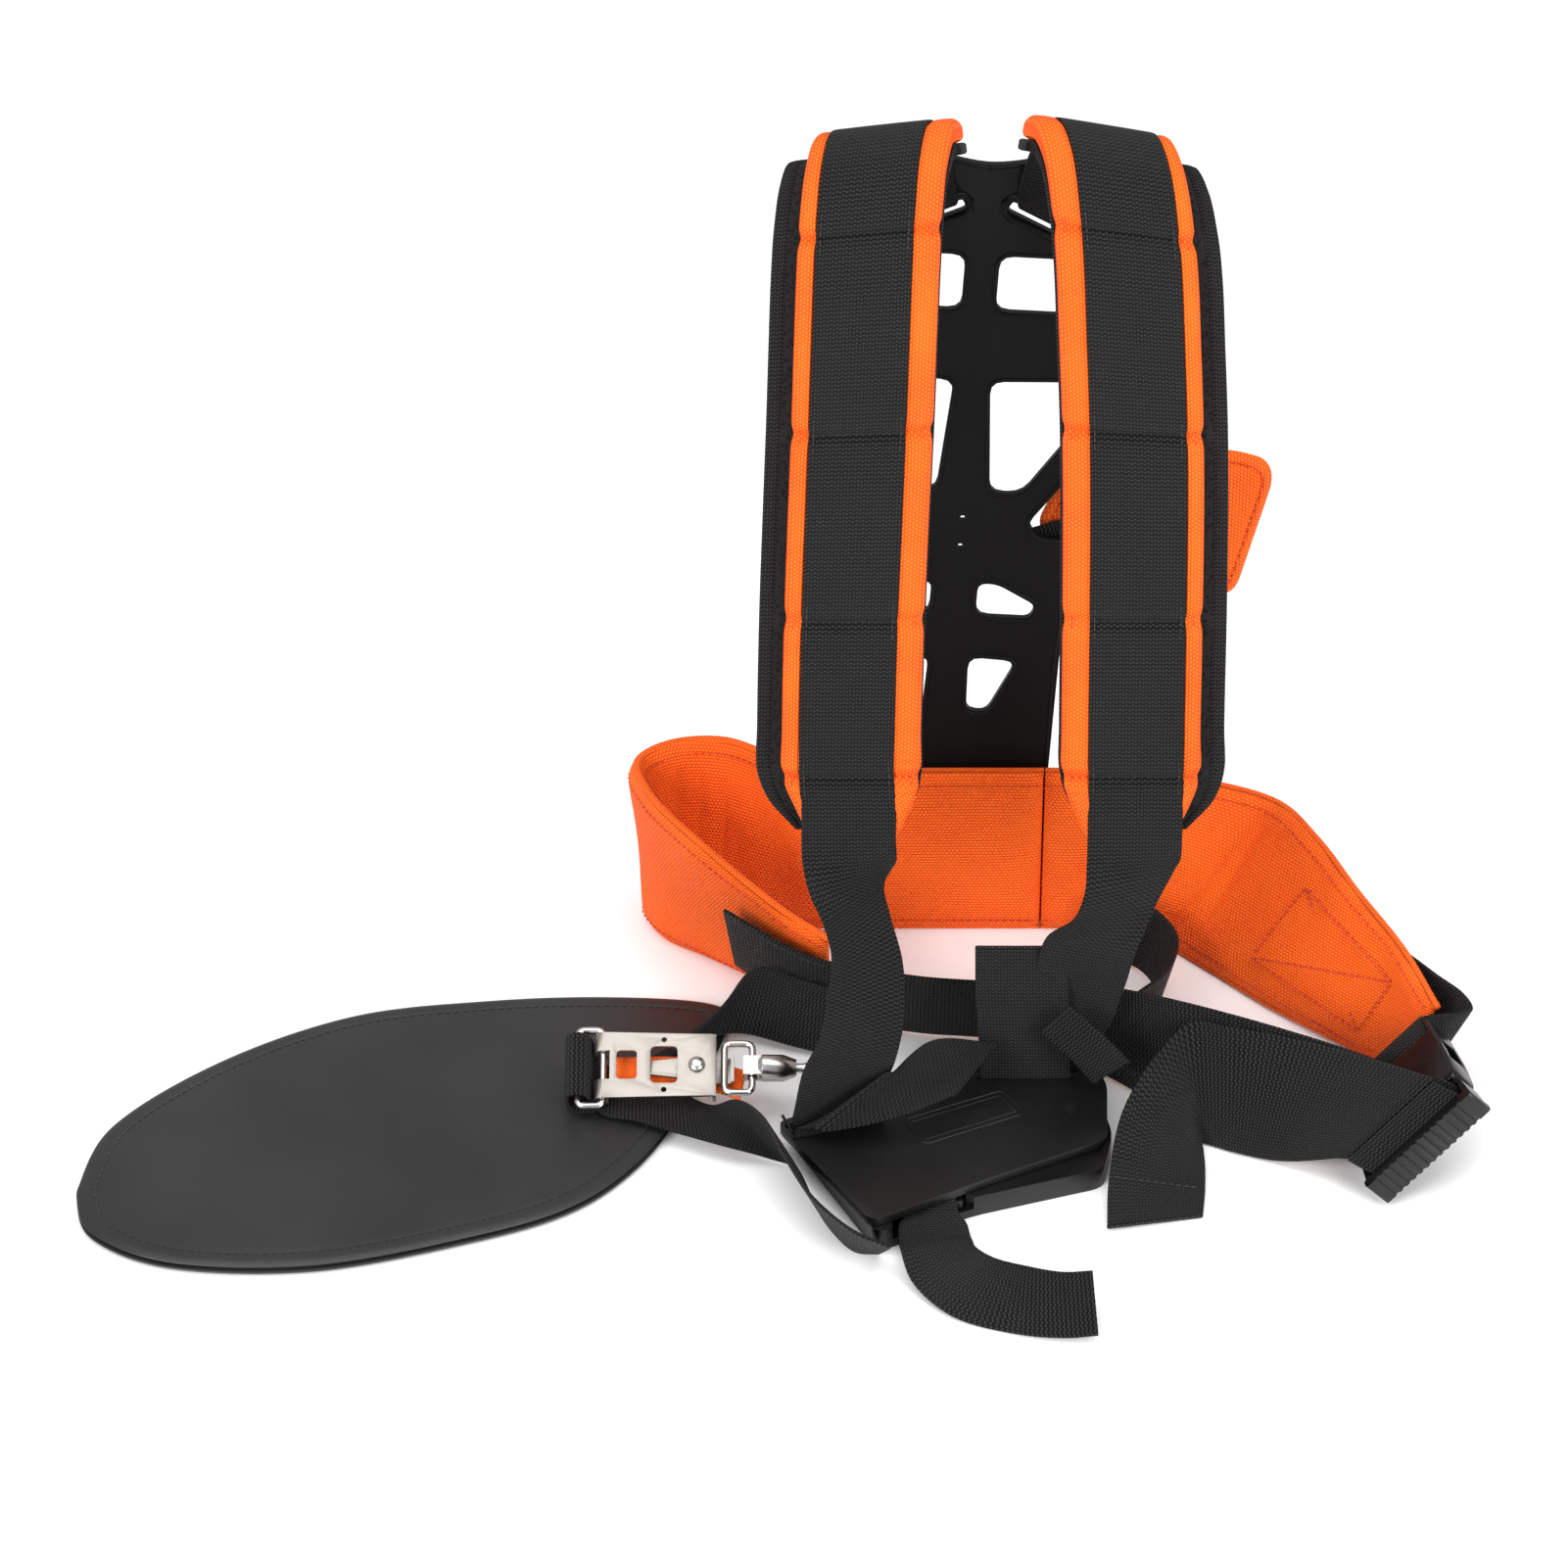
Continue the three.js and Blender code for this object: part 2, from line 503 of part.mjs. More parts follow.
const pull = [
  [[64, -223, 5.8], [1, 0, 0], 20], [[64, -223.2, 8], [1, 0, 0], 20],
  [[64, -225, 9.6], [1, 0, 0], 20], [[64, -229, 9.6], [1, 0, 0], 20],
  [[64, -234, 7.6], [1, 0, 0], 22], [[64, -242, 7], [1, 0, 0], 29], [[64.5, -252, 7], [1, 0.05, 0]],
  [[65, -264, 12], [0.98, 0.1, 0.1]],
  [[68, -276, 11], [0.85, 0.3, 0.35]], [[80, -290, 10], [0.55, 0.6, 0.5]],
  [[100, -298, 9.5], [0.1, 0.82, 0.5]], [[118, -302, 10], [-0.03, 0.9, 0.42]],
  [[131, -302, 11], [-0.05, 0.92, 0.4]],
];
add('chest_strap', strap(pull, CHEST_WEB, WEB, { steps: 2 }), blackWebbing);

const keeper = [
  [[119, -154, 52], [0.6, -0.1, 0.75]], [[132, -158, 41], [0.68, -0.1, 0.72]],
  [[144, -159, 27], [0.8, 0, 0.6]],
];
add('chest_keeper', strap(keeper, CHEST_WEB * 0.65, WEB, { steps: 2 }), blackWebbing);

const rearLoop = [
  [[150, -33, 16.5], [0.1, 0.2, 0.97]], [[164, -38, 16.5], [0.2, 0.2, 0.96]],
  [[174, -58, 16.5], [0.3, 0, 0.95]], [[170, -84, 16.5], [0.2, -0.1, 0.97]],
  [[157, -101, 16.5], [0.1, -0.2, 0.97]],
];
add('waist_rear_strap', strap(rearLoop, CHEST_WEB, WEB, { steps: 2 }), blackWebbing);

// ---------------------------------------------------------------- hip pad
const hipOutline = [
  [-307, -218], [-296, -170], [-252, -121], [-195, -86], [-134, -74], [-80, -71], [-34, -76],
  [-26, -92], [-44, -152], [-64, -196], [-92, -228], [-134, -249], [-200, -269], [-262, -267],
  [-298, -246],
];
function hipLayer(z0, z1) {
  const loop = new THREE.SplineCurve(
    [...hipOutline, hipOutline[0]].map((p) => new THREE.Vector2(...p)),
  );
  const points = loop.getPoints(48).slice(0, -1).map((p) => [p.x, p.y]);
  return slab(outline(points), z0, z1);
}
const HIP_MIDDLE = 0.5 + HIP_LAYER;
add('hip_pad_backing', hipLayer(0.5, HIP_MIDDLE), leatherette);
add('hip_pad', hipLayer(HIP_MIDDLE + GAP, HIP_MIDDLE + GAP + HIP_LAYER), leatherette);

// ---------------------------------------------------------------- steel hardware on the hip pad
const chain = new THREE.Group();
chain.position.set(...CHAIN_PIN);
chain.rotation.x = CHAIN_TILT;
harness.add(chain);

add('bracket_ring', wireRing(-11, 0, 18.5, WIRE), steel, chain);

function releaseBracket() {
  const half = BRACKET_WIDTH / 2;
  const sheet = slab(rounded([[3, -half], [BRACKET_LENGTH, 1 - half], [BRACKET_LENGTH, half - 1],
    [3, half]], 2), 2.2, 2.2 + SHEET);
  const lip = join(
    box(BRACKET_LENGTH - SHEET, BRACKET_LENGTH, 1 - half, half - 1, -3, 3.2),
    box(BRACKET_LENGTH - SHEET, 58, -6, 6, -4.4, -2.9),
    box(56.6, 58, -6, 6, -4, -0.8),
  );
  const ears = [-1, 1].map((side) => earCurl().translate(0, side * (half - 4.5), 0));
  const windows = [
    slab(rounded([[6, -7], [15, -7], [15, 7], [6, 7]], 2), 0, 8),
    slab(rounded([[21, -9], [33, -9], [33, 9], [21, 9]], 2.5), 0, 8),
    slab(new THREE.Shape().absarc(27, 12.2, 1.3, 0, 2 * Math.PI), 0, 8),
    slab(new THREE.Shape().absarc(27, -12.2, 1.3, 0, 2 * Math.PI), 0, 8),
    slab(new THREE.Shape().absarc(41.5, 0, 2.1, 0, 2 * Math.PI), 0, 8),
  ];
  return cut(join(sheet, lip, ...ears), ...windows);
}
function earCurl() {
  const inner = 2.2;
  const outer = inner + SHEET;
  const arc = new THREE.Shape();
  arc.absarc(0, 0, outer, Math.PI / 2, Math.PI * 1.75, false);
  arc.absarc(0, 0, inner, Math.PI * 1.75, Math.PI / 2, true);
  arc.closePath();
  const hook = slab(arc, -4.5, 4.5, 8).rotateX(Math.PI / 2);
  return join(hook, box(-0.4, 4, -4.5, 4.5, inner, outer));
}
add('release_bracket', releaseBracket(), steel, chain);

const rivet = new THREE.LatheGeometry(
  [[0, -2.6], [3.2, -2.6], [3.2, -1.6], [1.7, -1.4], [1.7, 4.2], [3.6, 4.3], [3, 5.4], [0, 5.8]]
    .map(([x, y]) => new THREE.Vector2(x, y)), 12,
).rotateX(Math.PI / 2).translate(41.5, 0, 0);
add('lever_rivet', rivet, steel, chain);

const lever = cut(
  slab(rounded([[18, -3], [34, -5], [46, -5], [46, 5], [34, 5], [18, 3]], 2.5), -0.9, 0.6),
  slab(new THREE.Shape().absarc(41.5, 0, 2.1, 0, 2 * Math.PI), -4, 4),
);
add('release_lever', lever, steel, chain);

const tapeRoute = [
  [[4, 0, -4.6], [0, 1, 0]], [[12, 0, -4.2], [0, 1, 0]], [[24, 0, -3.8], [0, 1, 0]],
  [[38, 0, -4.8], [0, 1, 0]], [[52, -2, -6.6], [0, 1, 0]], [[62, -5, -7.6], [0.2, 1, 0]],
];
add('release_tape', strap(tapeRoute, 15, 1.2, { steps: 2 }), orangeTape, chain);

add('wire_loop', wireRing(53.6, 66, 12, WIRE), steel, chain);

const lathe = (profile, x, sides = 16) => new THREE.LatheGeometry(
  profile.map(([along, radius]) => new THREE.Vector2(radius, along)), sides,
).rotateZ(-Math.PI / 2).translate(x, 0, 0);

function swivelBarrel() {
  const body = lathe([[0, 0], [0, 4.4], [2, 6], [11, 6], [17, 3.8], [17, 0]], 68.5);
  const eye = box(62, 70, -4.5, 4.5, -3.6, 3.6);
  return cut(join(body, eye), box(64, 68.2, -9, 9, -2.2, 2.2), lathe([[3, 0], [3, 3.2], [9, 3.2],
    [9, 2.6], [30, 2.6], [30, 0]], 68.5));
}
add('swivel_barrel', swivelBarrel(), steel, chain);

const pivot = (radius) => new THREE.CylinderGeometry(radius, radius, 5.6, 12)
  .rotateX(Math.PI / 2).translate(95, -10.8, 0);

function snapHook() {
  const pin = lathe([[4, 0], [4, 2.8], [8.4, 2.8], [8.4, 2.2], [22, 2.2], [24, 3.6], [27, 3.6],
    [27, 0]], 68.5, 12);
  const spine = wire([[94, 0, 0], [97, 6, 0], [102, 11, 0], [110, 13, 0], [118, 10.5, 0],
    [123, 4, 0], [123, -4, 0], [119, -10, 0], [113.5, -12, 0]], 4.6, { steps: 2 });
  const cheek = box(93, 97, -12.5, 0, -2.2, 2.2);
  return cut(join(pin, spine, cheek), box(92.9, 98, -16, -8.3, -1.2, 1.2), pivot(1.05));
}
add('snap_hook', snapHook(), steel, chain);

const gate = cut(join(
  wire([[97.4, -12, 0], [103, -12.2, 0], [109.8, -12, 0]], 3.4, { steps: 1 }),
  slab(rounded([[86, -15], [98.5, -14.2], [98.5, -9.2], [93, -9]], 1), -0.8, 0.8),
), pivot(1.05));
add('hook_gate', gate, steel, chain);
add('gate_pin', pivot(0.95), steel, chain);

// The strap that holds the bracket ring: over the hip pad, round the ring's bar and back.
chain.updateMatrixWorld(true);
const barAcross = new THREE.Vector3(0, Math.cos(CHAIN_TILT), Math.sin(CHAIN_TILT)).toArray();
const roundBar = ([x, z]) =>
  [new THREE.Vector3(x - 11, 0, z).applyMatrix4(chain.matrixWorld).toArray(), barAcross];
const hipStrap = [
  [[34, -113, 16.5], [0, 0.3, 0.95]], [[6, -101, 18], [0.1, 0.45, 0.88]],
  [[-18, -93, 19], [0.3, 0.6, 0.74]], [[-38, -108, 12.5], [0.55, 0.8, 0.2]],
  [[-56, -128, 8.6], [0.4, 0.9, 0.02]], [[-72, -143, 8.1], [0.15, 0.98, 0]],
  [[-84, -148, 8.6], [0, 1, 0.03]], [[-94, -149, 14], [0, 0.94, 0.34]],
  ...[[-5, 0], [-2.2, 4.2], [2.6, 3.8], [4.8, 0], [5.6, -3.4]].map(roundBar),
  [[-79.5, -151, 11.6], [0, 0.98, 0.2]], [[-66, -156, 9.9], [0, 1, 0.02]],
  [[-46, -166, 9.9], [-0.05, 1, 0]], [[-28, -176, 10], [-0.3, 0.95, 0.05]],
  [[-13, -183, 13.5], [-0.5, 0.6, 0.6]], [[-3, -194, 15.5], [-0.45, 0, 0.9]],
  [[6, -220, 15.5], [-0.42, -0.1, 0.9]], [[17, -246, 14.5], [-0.3, -0.35, 0.87]],
  [[31, -263, 13], [0, -0.6, 0.78]], [[43, -267, 12], [0.15, -0.7, 0.65]],
];
add('hip_strap', strap(hipStrap, CHEST_WEB, WEB, { steps: 2 }), blackWebbing);

// ---------------------------------------------------------------- place the origin
const extent = new THREE.Box3().setFromObject(harness, true);
const centre = extent.getCenter(new THREE.Vector3());
harness.position.set(-centre.x, -centre.y, -extent.min.z);

export default harness;
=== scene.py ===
# Looks of the double-shoulder brushcutter harness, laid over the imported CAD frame. Metres, +Z up.
# Shapes are laid out in millimetres on the same axes as the design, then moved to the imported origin.
import json
import math

import bmesh
import bpy
import numpy as np
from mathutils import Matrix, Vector

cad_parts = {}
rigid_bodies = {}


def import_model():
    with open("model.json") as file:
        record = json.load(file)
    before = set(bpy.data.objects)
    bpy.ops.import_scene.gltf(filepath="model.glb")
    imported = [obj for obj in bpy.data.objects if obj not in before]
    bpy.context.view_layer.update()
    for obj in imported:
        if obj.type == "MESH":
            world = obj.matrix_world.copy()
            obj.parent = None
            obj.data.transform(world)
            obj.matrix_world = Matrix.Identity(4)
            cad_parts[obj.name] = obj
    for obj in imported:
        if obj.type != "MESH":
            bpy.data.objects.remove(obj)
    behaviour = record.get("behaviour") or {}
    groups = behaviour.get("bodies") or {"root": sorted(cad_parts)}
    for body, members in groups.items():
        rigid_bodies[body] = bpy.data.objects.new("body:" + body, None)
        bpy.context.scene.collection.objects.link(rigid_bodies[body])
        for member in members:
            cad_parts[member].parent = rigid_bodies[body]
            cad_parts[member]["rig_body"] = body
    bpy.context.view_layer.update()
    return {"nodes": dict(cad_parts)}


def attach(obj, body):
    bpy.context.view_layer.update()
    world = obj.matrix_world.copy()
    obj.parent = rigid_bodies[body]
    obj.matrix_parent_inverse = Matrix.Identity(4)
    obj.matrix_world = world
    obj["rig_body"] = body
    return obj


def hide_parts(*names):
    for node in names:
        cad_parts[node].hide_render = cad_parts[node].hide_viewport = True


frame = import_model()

MM = 0.001
ORIGIN = np.array([1.4496, 144.2746, -0.2915])  # from the layout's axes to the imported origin, mm
WELD = 2e-6  # corners closer than this are one corner, metres


# ---------------------------------------------------------------- curves, in millimetres
def spline(points, u):
    """A centripetal Catmull-Rom curve through the points, at each u from 0 to 1."""
    p = np.array(points, float)
    p = np.vstack([2 * p[0] - p[1], p, 2 * p[-1] - p[-2]])
    at = np.clip(np.asarray(u, float), 0, 1) * (len(points) - 1)
    i = np.minimum(at.astype(int), len(points) - 2)
    w = (at - i)[:, None]
    x0, x1, x2, x3 = (p[i + k] for k in range(4))
    gap = lambda a, b: np.maximum(((a - b) ** 2).sum(1)[:, None] ** 0.25, 1e-4)
    d0, d1, d2 = gap(x0, x1), gap(x1, x2), gap(x2, x3)
    t1 = ((x1 - x0) / d0 - (x2 - x0) / (d0 + d1) + (x2 - x1) / d1) * d1
    t2 = ((x2 - x1) / d1 - (x3 - x1) / (d1 + d2) + (x3 - x2) / d2) * d1
    return x1 + t1 * w + (3 * (x2 - x1) - 2 * t1 - t2) * w**2 + (2 * (x1 - x2) + t1 + t2) * w**3


def unit(v):
    """Vectors scaled to length 1."""
    v = np.asarray(v, float)
    return v / np.maximum(np.linalg.norm(v, axis=-1, keepdims=True), 1e-9)


def edges(stations, width):
    """The two edge lines of a strap; each station is (centre, direction across[, width])."""
    a, b = [], []
    for centre, across, *own in stations:
        half = unit(across) * (own[0] if own else width) / 2
        a.append(np.array(centre) - half)
        b.append(np.array(centre) + half)
    return a, b


class Sheet:
    """Points and normals over a band between two edge lines, rows along and columns across."""

    def __init__(self, edge_a, edge_b, rows, columns):
        u = np.linspace(0, 1, rows + 1)
        self.a, self.b = spline(edge_a, u), spline(edge_b, u)
        across = self.b - self.a
        middle = (self.a + self.b) / 2
        along = np.gradient(middle, axis=0)
        self.normal = unit(np.cross(across, along))
        self.s = np.linspace(0, 1, columns + 1) if isinstance(columns, int) else np.array(columns)
        self.width = np.linalg.norm(across, axis=1)
        step = np.linalg.norm(np.diff(middle, axis=0), axis=1)
        self.length = np.concatenate([[0], np.cumsum(step)])

    def points(self, height):
        """The band's points, raised along the normal by height, a number or a rows x columns array."""
        base = self.a[:, None] + (self.b - self.a)[:, None] * self.s[None, :, None]
        return base + self.normal[:, None] * np.broadcast_to(height, base.shape[:2])[..., None]


# ---------------------------------------------------------------- meshes
def new_mesh(name, verts, faces, uvs=None, smooth=True):
    """A mesh object from points in millimetres on the layout's axes; uvs are one per vertex, in metres."""
    mesh = bpy.data.meshes.new(name)
    points = (np.asarray(verts, float) + ORIGIN) * MM
    mesh.from_pydata(points.tolist(), [], faces)
    mesh.update()
    if uvs is not None:
        layer = mesh.uv_layers.new(name="UVMap")
        corner = np.zeros(len(mesh.loops), int)
        mesh.loops.foreach_get("vertex_index", corner)
        layer.data.foreach_set("uv", (np.asarray(uvs)[corner] * MM).astype(np.float32).ravel())
    if smooth:
        mesh.shade_smooth()
    obj = bpy.data.objects.new(name, mesh)
    bpy.context.scene.collection.objects.link(obj)
    return obj


def face_out(obj):
    """Turns every face of a closed mesh outwards."""
    bm = bmesh.new()
    bm.from_mesh(obj.data)
    bmesh.ops.recalc_face_normals(bm, faces=bm.faces)
    bm.to_mesh(obj.data)
    bm.free()
    return obj


def band(name, sheet, outer, inner):
    """A closed band: the outer skin at height -outer, the inner one at +inner, both rows x columns."""
    rows, cols = len(sheet.a), len(sheet.s)
    shape = (rows, cols)
    top = sheet.points(-np.broadcast_to(outer, shape))
    low = sheet.points(np.broadcast_to(inner, shape))
    verts = np.concatenate([top.reshape(-1, 3), low.reshape(-1, 3)])
    u = sheet.s[None] * sheet.width[:, None]
    v = np.repeat(sheet.length[:, None], cols, 1)
    uv = np.stack([u, v], -1).reshape(-1, 2)
    at = lambda side, r, c: side * rows * cols + r * cols + c
    faces = []
    for r in range(rows - 1):
        for c in range(cols - 1):
            quad = [(r, c), (r, c + 1), (r + 1, c + 1), (r + 1, c)]
            faces.append([at(0, *q) for q in quad])
            faces.append([at(1, *q) for q in reversed(quad)])
        for c in (0, cols - 1):
            faces.append([at(0, r, c), at(0, r + 1, c), at(1, r + 1, c), at(1, r, c)])
    for r in (0, rows - 1):
        for c in range(cols - 1):
            faces.append([at(0, r, c), at(0, r, c + 1), at(1, r, c + 1), at(1, r, c)])
    return face_out(new_mesh(name, verts, faces, np.concatenate([uv, uv])))


def rounded_edge(s, width, thickness, radius=1.0):
    """Half thickness across a band whose long edges are rounded off over radius."""
    from_edge = np.minimum(s, 1 - s) * width
    share = np.clip(from_edge / radius, 0, 1)
    return thickness / 2 * np.sqrt(np.maximum(1 - (1 - share) ** 2, 0.06))


WEB_COLUMNS = np.array([0, 0.012, 0.035, 0.1, 0.2, 0.35, 0.5, 0.65, 0.8, 0.9, 0.965, 0.988, 1])


def webbing(name, stations_or_edges, width, rows_per=8, thickness=1.6, wave=0.12, lift=None):
    """A woven strap, with rounded selvedges and a slight unevenness along it."""
    pair = stations_or_edges if isinstance(stations_or_edges, tuple) else edges(stations_or_edges, width)
    rows = (len(pair[0]) - 1) * rows_per
    sheet = Sheet(*pair, rows, WEB_COLUMNS)
    half = rounded_edge(sheet.s[None], sheet.width[:, None], thickness)
    ripple = wave * np.sin(sheet.length / 5.3)[:, None] * np.sin(sheet.s * math.pi)[None]
    raised = ripple if lift is None else ripple + lift(sheet)
    return band(name, sheet, half + raised, half - raised), sheet


def tube(name, points, radius, sides=14, loop=False):
    """A round bar along a line of points; radius is a number or one for each point."""
    p = np.array(points, float)
    n = len(p)
    if loop:
        tangent = unit(np.roll(p, -1, 0) - np.roll(p, 1, 0))
    else:
        tangent = unit(np.gradient(p, axis=0))
    r = np.broadcast_to(radius, n)
    side = unit(np.cross(tangent[0], [0.3, 0.2, 1.0]))
    rings = []
    for i in range(n):
        side = unit(side - tangent[i] * (side @ tangent[i]))
        up = np.cross(tangent[i], side)
        turn = np.linspace(0, 2 * math.pi, sides, endpoint=False)[:, None]
        rings.append(p[i] + r[i] * (np.cos(turn) * side + np.sin(turn) * up))
    verts = np.concatenate(rings)
    faces = []
    for i in range(n if loop else n - 1):
        j = (i + 1) % n
        shift = 0
        if loop and j == 0:
            shift = int(np.argmin(((rings[0] - rings[-1][0]) ** 2).sum(1)))
        for k in range(sides):
            m = (k + 1) % sides
            faces.append([i * sides + k, i * sides + m, j * sides + (m + shift) % sides,
                          j * sides + (k + shift) % sides])
    if not loop:
        faces += [list(range(sides))[::-1], [(n - 1) * sides + k for k in range(sides)]]
    length = np.concatenate([[0], np.cumsum(np.linalg.norm(np.diff(p, axis=0), axis=1))])
    uv = [(k / sides * 6.3 * r[i], length[i]) for i in range(n) for k in range(sides)]
    return face_out(new_mesh(name, verts, faces, uv))


def merge(name, parts):
    """Joins finished pieces of one material into one object."""
    bm = bmesh.new()
    for part in parts:
        bm.from_mesh(part.data)
    mesh = parts[0].data.copy()
    bm.to_mesh(mesh)
    bm.free()
    for part in parts:
        bpy.data.objects.remove(part)
    mesh.name = name
    obj = bpy.data.objects.new(name, mesh)
    bpy.context.scene.collection.objects.link(obj)
    return obj


def apply_modifiers(obj):
    """Bakes an object's modifiers into its mesh."""
    evaluated = obj.evaluated_get(bpy.context.evaluated_depsgraph_get())
    mesh = bpy.data.meshes.new_from_object(evaluated)
    obj.modifiers.clear()
    obj.data = mesh
    return obj


def finer(obj):
    """One round of smoothing subdivision."""
    obj.modifiers.new("finer", "SUBSURF").levels = 1
    apply_modifiers(obj)
    obj.data.shade_smooth()
    return obj


def softened(node, width=0.5, segments=2, angle=28, name=None):
    """A copy of a CAD node with its sharp edges rounded (not at width 0), standing for that node."""
    source = frame["nodes"][node]
    mesh = source.data.copy()
    mesh.materials.clear()
    obj = bpy.data.objects.new(name or f"{node}_moulding", mesh)
    bpy.context.scene.collection.objects.link(obj)
    bm = bmesh.new()
    bm.from_mesh(mesh)
    bmesh.ops.remove_doubles(bm, verts=bm.verts, dist=WELD)
    bmesh.ops.dissolve_limit(bm, angle_limit=math.radians(1), verts=bm.verts, edges=bm.edges)
    bm.to_mesh(mesh)
    bm.free()
    if width == 0:
        mesh.shade_smooth()
        mesh.set_sharp_from_angle(angle=math.radians(angle))
    else:
        bevel = obj.modifiers.new("edges", "BEVEL")
        bevel.width = width * MM
        bevel.segments = segments
        bevel.limit_method = "ANGLE"
        bevel.angle_limit = math.radians(angle)
        bevel.harden_normals = True
        obj.data.shade_smooth()
        apply_modifiers(obj)
    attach(obj, source["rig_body"])
    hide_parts(node)
    return obj


def inflate(obj, pinned, pressure=4.0, cap=3.0, frames=20):
    """Blows a closed pad up as cloth, with its stitched points held, then bakes the shape."""
    rest = np.array([v.co for v in obj.data.vertices])
    group = obj.vertex_groups.new(name="stitched")
    group.add([int(i) for i in np.flatnonzero(pinned)], 1.0, "REPLACE")
    cloth = obj.modifiers.new("Cloth", "CLOTH")
    settings = cloth.settings
    settings.quality = 6
    settings.mass = 0.2
    settings.vertex_group_mass = "stitched"
    settings.use_pressure = True
    settings.uniform_pressure_force = pressure
    settings.effector_weights.gravity = 0
    settings.tension_stiffness = 12
    settings.bending_stiffness = 0.2
    cloth.collision_settings.use_collision = False
    cloth.point_cache.frame_end = frames
    scene = bpy.context.scene
    for step in range(1, frames + 1):
        scene.frame_set(step)
    evaluated = obj.evaluated_get(bpy.context.evaluated_depsgraph_get())
    blown = np.array([v.co for v in evaluated.data.vertices])
    obj.modifiers.clear()
    obj.vertex_groups.clear()
    moved = np.nan_to_num(blown - rest)
    far = np.linalg.norm(moved, axis=1, keepdims=True)
    moved *= np.minimum(1, cap * MM / np.maximum(far, 1e-9))
    obj.data.vertices.foreach_set("co", (rest + moved).astype(np.float32).ravel())
    obj.data.update()
    scene.frame_set(1)
    return obj


# ---------------------------------------------------------------- materials
class Graph:
    """A short way to write a procedural material."""

    def __init__(self, name, roughness=0.6, metallic=0.0, **sockets):
        self.material = bpy.data.materials.new(name)
        self.material.use_nodes = True
        self.tree = self.material.node_tree
        self.shader = self.tree.nodes["Principled BSDF"]
        self.shader.inputs["Roughness"].default_value = roughness
        self.shader.inputs["Metallic"].default_value = metallic
        for key, value in sockets.items():
            self.shader.inputs[key.replace("_", " ")].default_value = value
        coordinates = self.tree.nodes.new("ShaderNodeTexCoord")
        self.uv, self.object = coordinates.outputs["UV"], coordinates.outputs["Object"]

    def put(self, socket, value):
        if isinstance(value, bpy.types.NodeSocket):
            self.tree.links.new(value, socket)
        else:
            socket.default_value = value

    def math(self, operation, *values):
        node = self.tree.nodes.new("ShaderNodeMath")
        node.operation = operation
        for socket, value in zip(node.inputs, values):
            self.put(socket, value)
        return node.outputs["Value"]

    def blend(self, share, low, high):
        node = self.tree.nodes.new("ShaderNodeMix")
        node.data_type = "RGBA"
        self.put(node.inputs["Factor"], share)
        self.put(node.inputs[6], low)
        self.put(node.inputs[7], high)
        return node.outputs[2]

    def span(self, value, from_low, from_high, low, high):
        node = self.tree.nodes.new("ShaderNodeMapRange")
        for key, number in (("Value", value), ("From Min", from_low), ("From Max", from_high),
                            ("To Min", low), ("To Max", high)):
            self.put(node.inputs[key], number)
        return node.outputs["Result"]

    def noise(self, where, scale, detail=2.0, stretch=None):
        if stretch is not None:
            mapping = self.tree.nodes.new("ShaderNodeMapping")
            self.put(mapping.inputs["Vector"], where)
            mapping.inputs["Scale"].default_value = stretch
            where = mapping.outputs[0]
        node = self.tree.nodes.new("ShaderNodeTexNoise")
        self.put(node.inputs["Vector"], where)
        node.inputs["Scale"].default_value = scale
        node.inputs["Detail"].default_value = detail
        return node.outputs["Fac"]

    def cells(self, where, scale, feature="F1"):
        node = self.tree.nodes.new("ShaderNodeTexVoronoi")
        node.feature = feature
        self.put(node.inputs["Vector"], where)
        node.inputs["Scale"].default_value = scale
        return node.outputs["Distance"]

    def axes(self, where):
        node = self.tree.nodes.new("ShaderNodeSeparateXYZ")
        self.put(node.inputs[0], where)
        return node.outputs[0], node.outputs[1]

    def bump(self, height, distance, strength=1.0, under=None):
        node = self.tree.nodes.new("ShaderNodeBump")
        node.inputs["Strength"].default_value = strength
        node.inputs["Distance"].default_value = distance
        self.put(node.inputs["Height"], height)
        if under is not None:
            self.put(node.inputs["Normal"], under)
        return node.outputs[0]

    def weave(self, across, along, shift=0.5, ribbed=0.0):
        """Rounded yarn crowns, in columns `across` wide and `along` long, every other column shifted;
        ribbed, from 0 to 1, runs the crowns together into ribs across the cloth."""
        u, v = self.axes(self.uv)
        column = self.math("DIVIDE", u, across)
        odd = self.math("MULTIPLY", self.math("MODULO", self.math("FLOOR", column), 2.0), shift)
        row = self.math("ADD", self.math("DIVIDE", v, along), odd)
        hill = lambda x: self.math("SINE", self.math("MULTIPLY", self.math("FRACT", x), math.pi))
        ends = self.math("ADD", self.math("MULTIPLY", hill(column), 1 - ribbed), ribbed)
        return self.math("MULTIPLY", ends, hill(row))

    def finish(self, colour=None, roughness=None, normal=None):
        if colour is not None:
            self.put(self.shader.inputs["Base Color"], colour)
        if roughness is not None:
            self.put(self.shader.inputs["Roughness"], roughness)
        if normal is not None:
            self.put(self.shader.inputs["Normal"], normal)
        return self.material


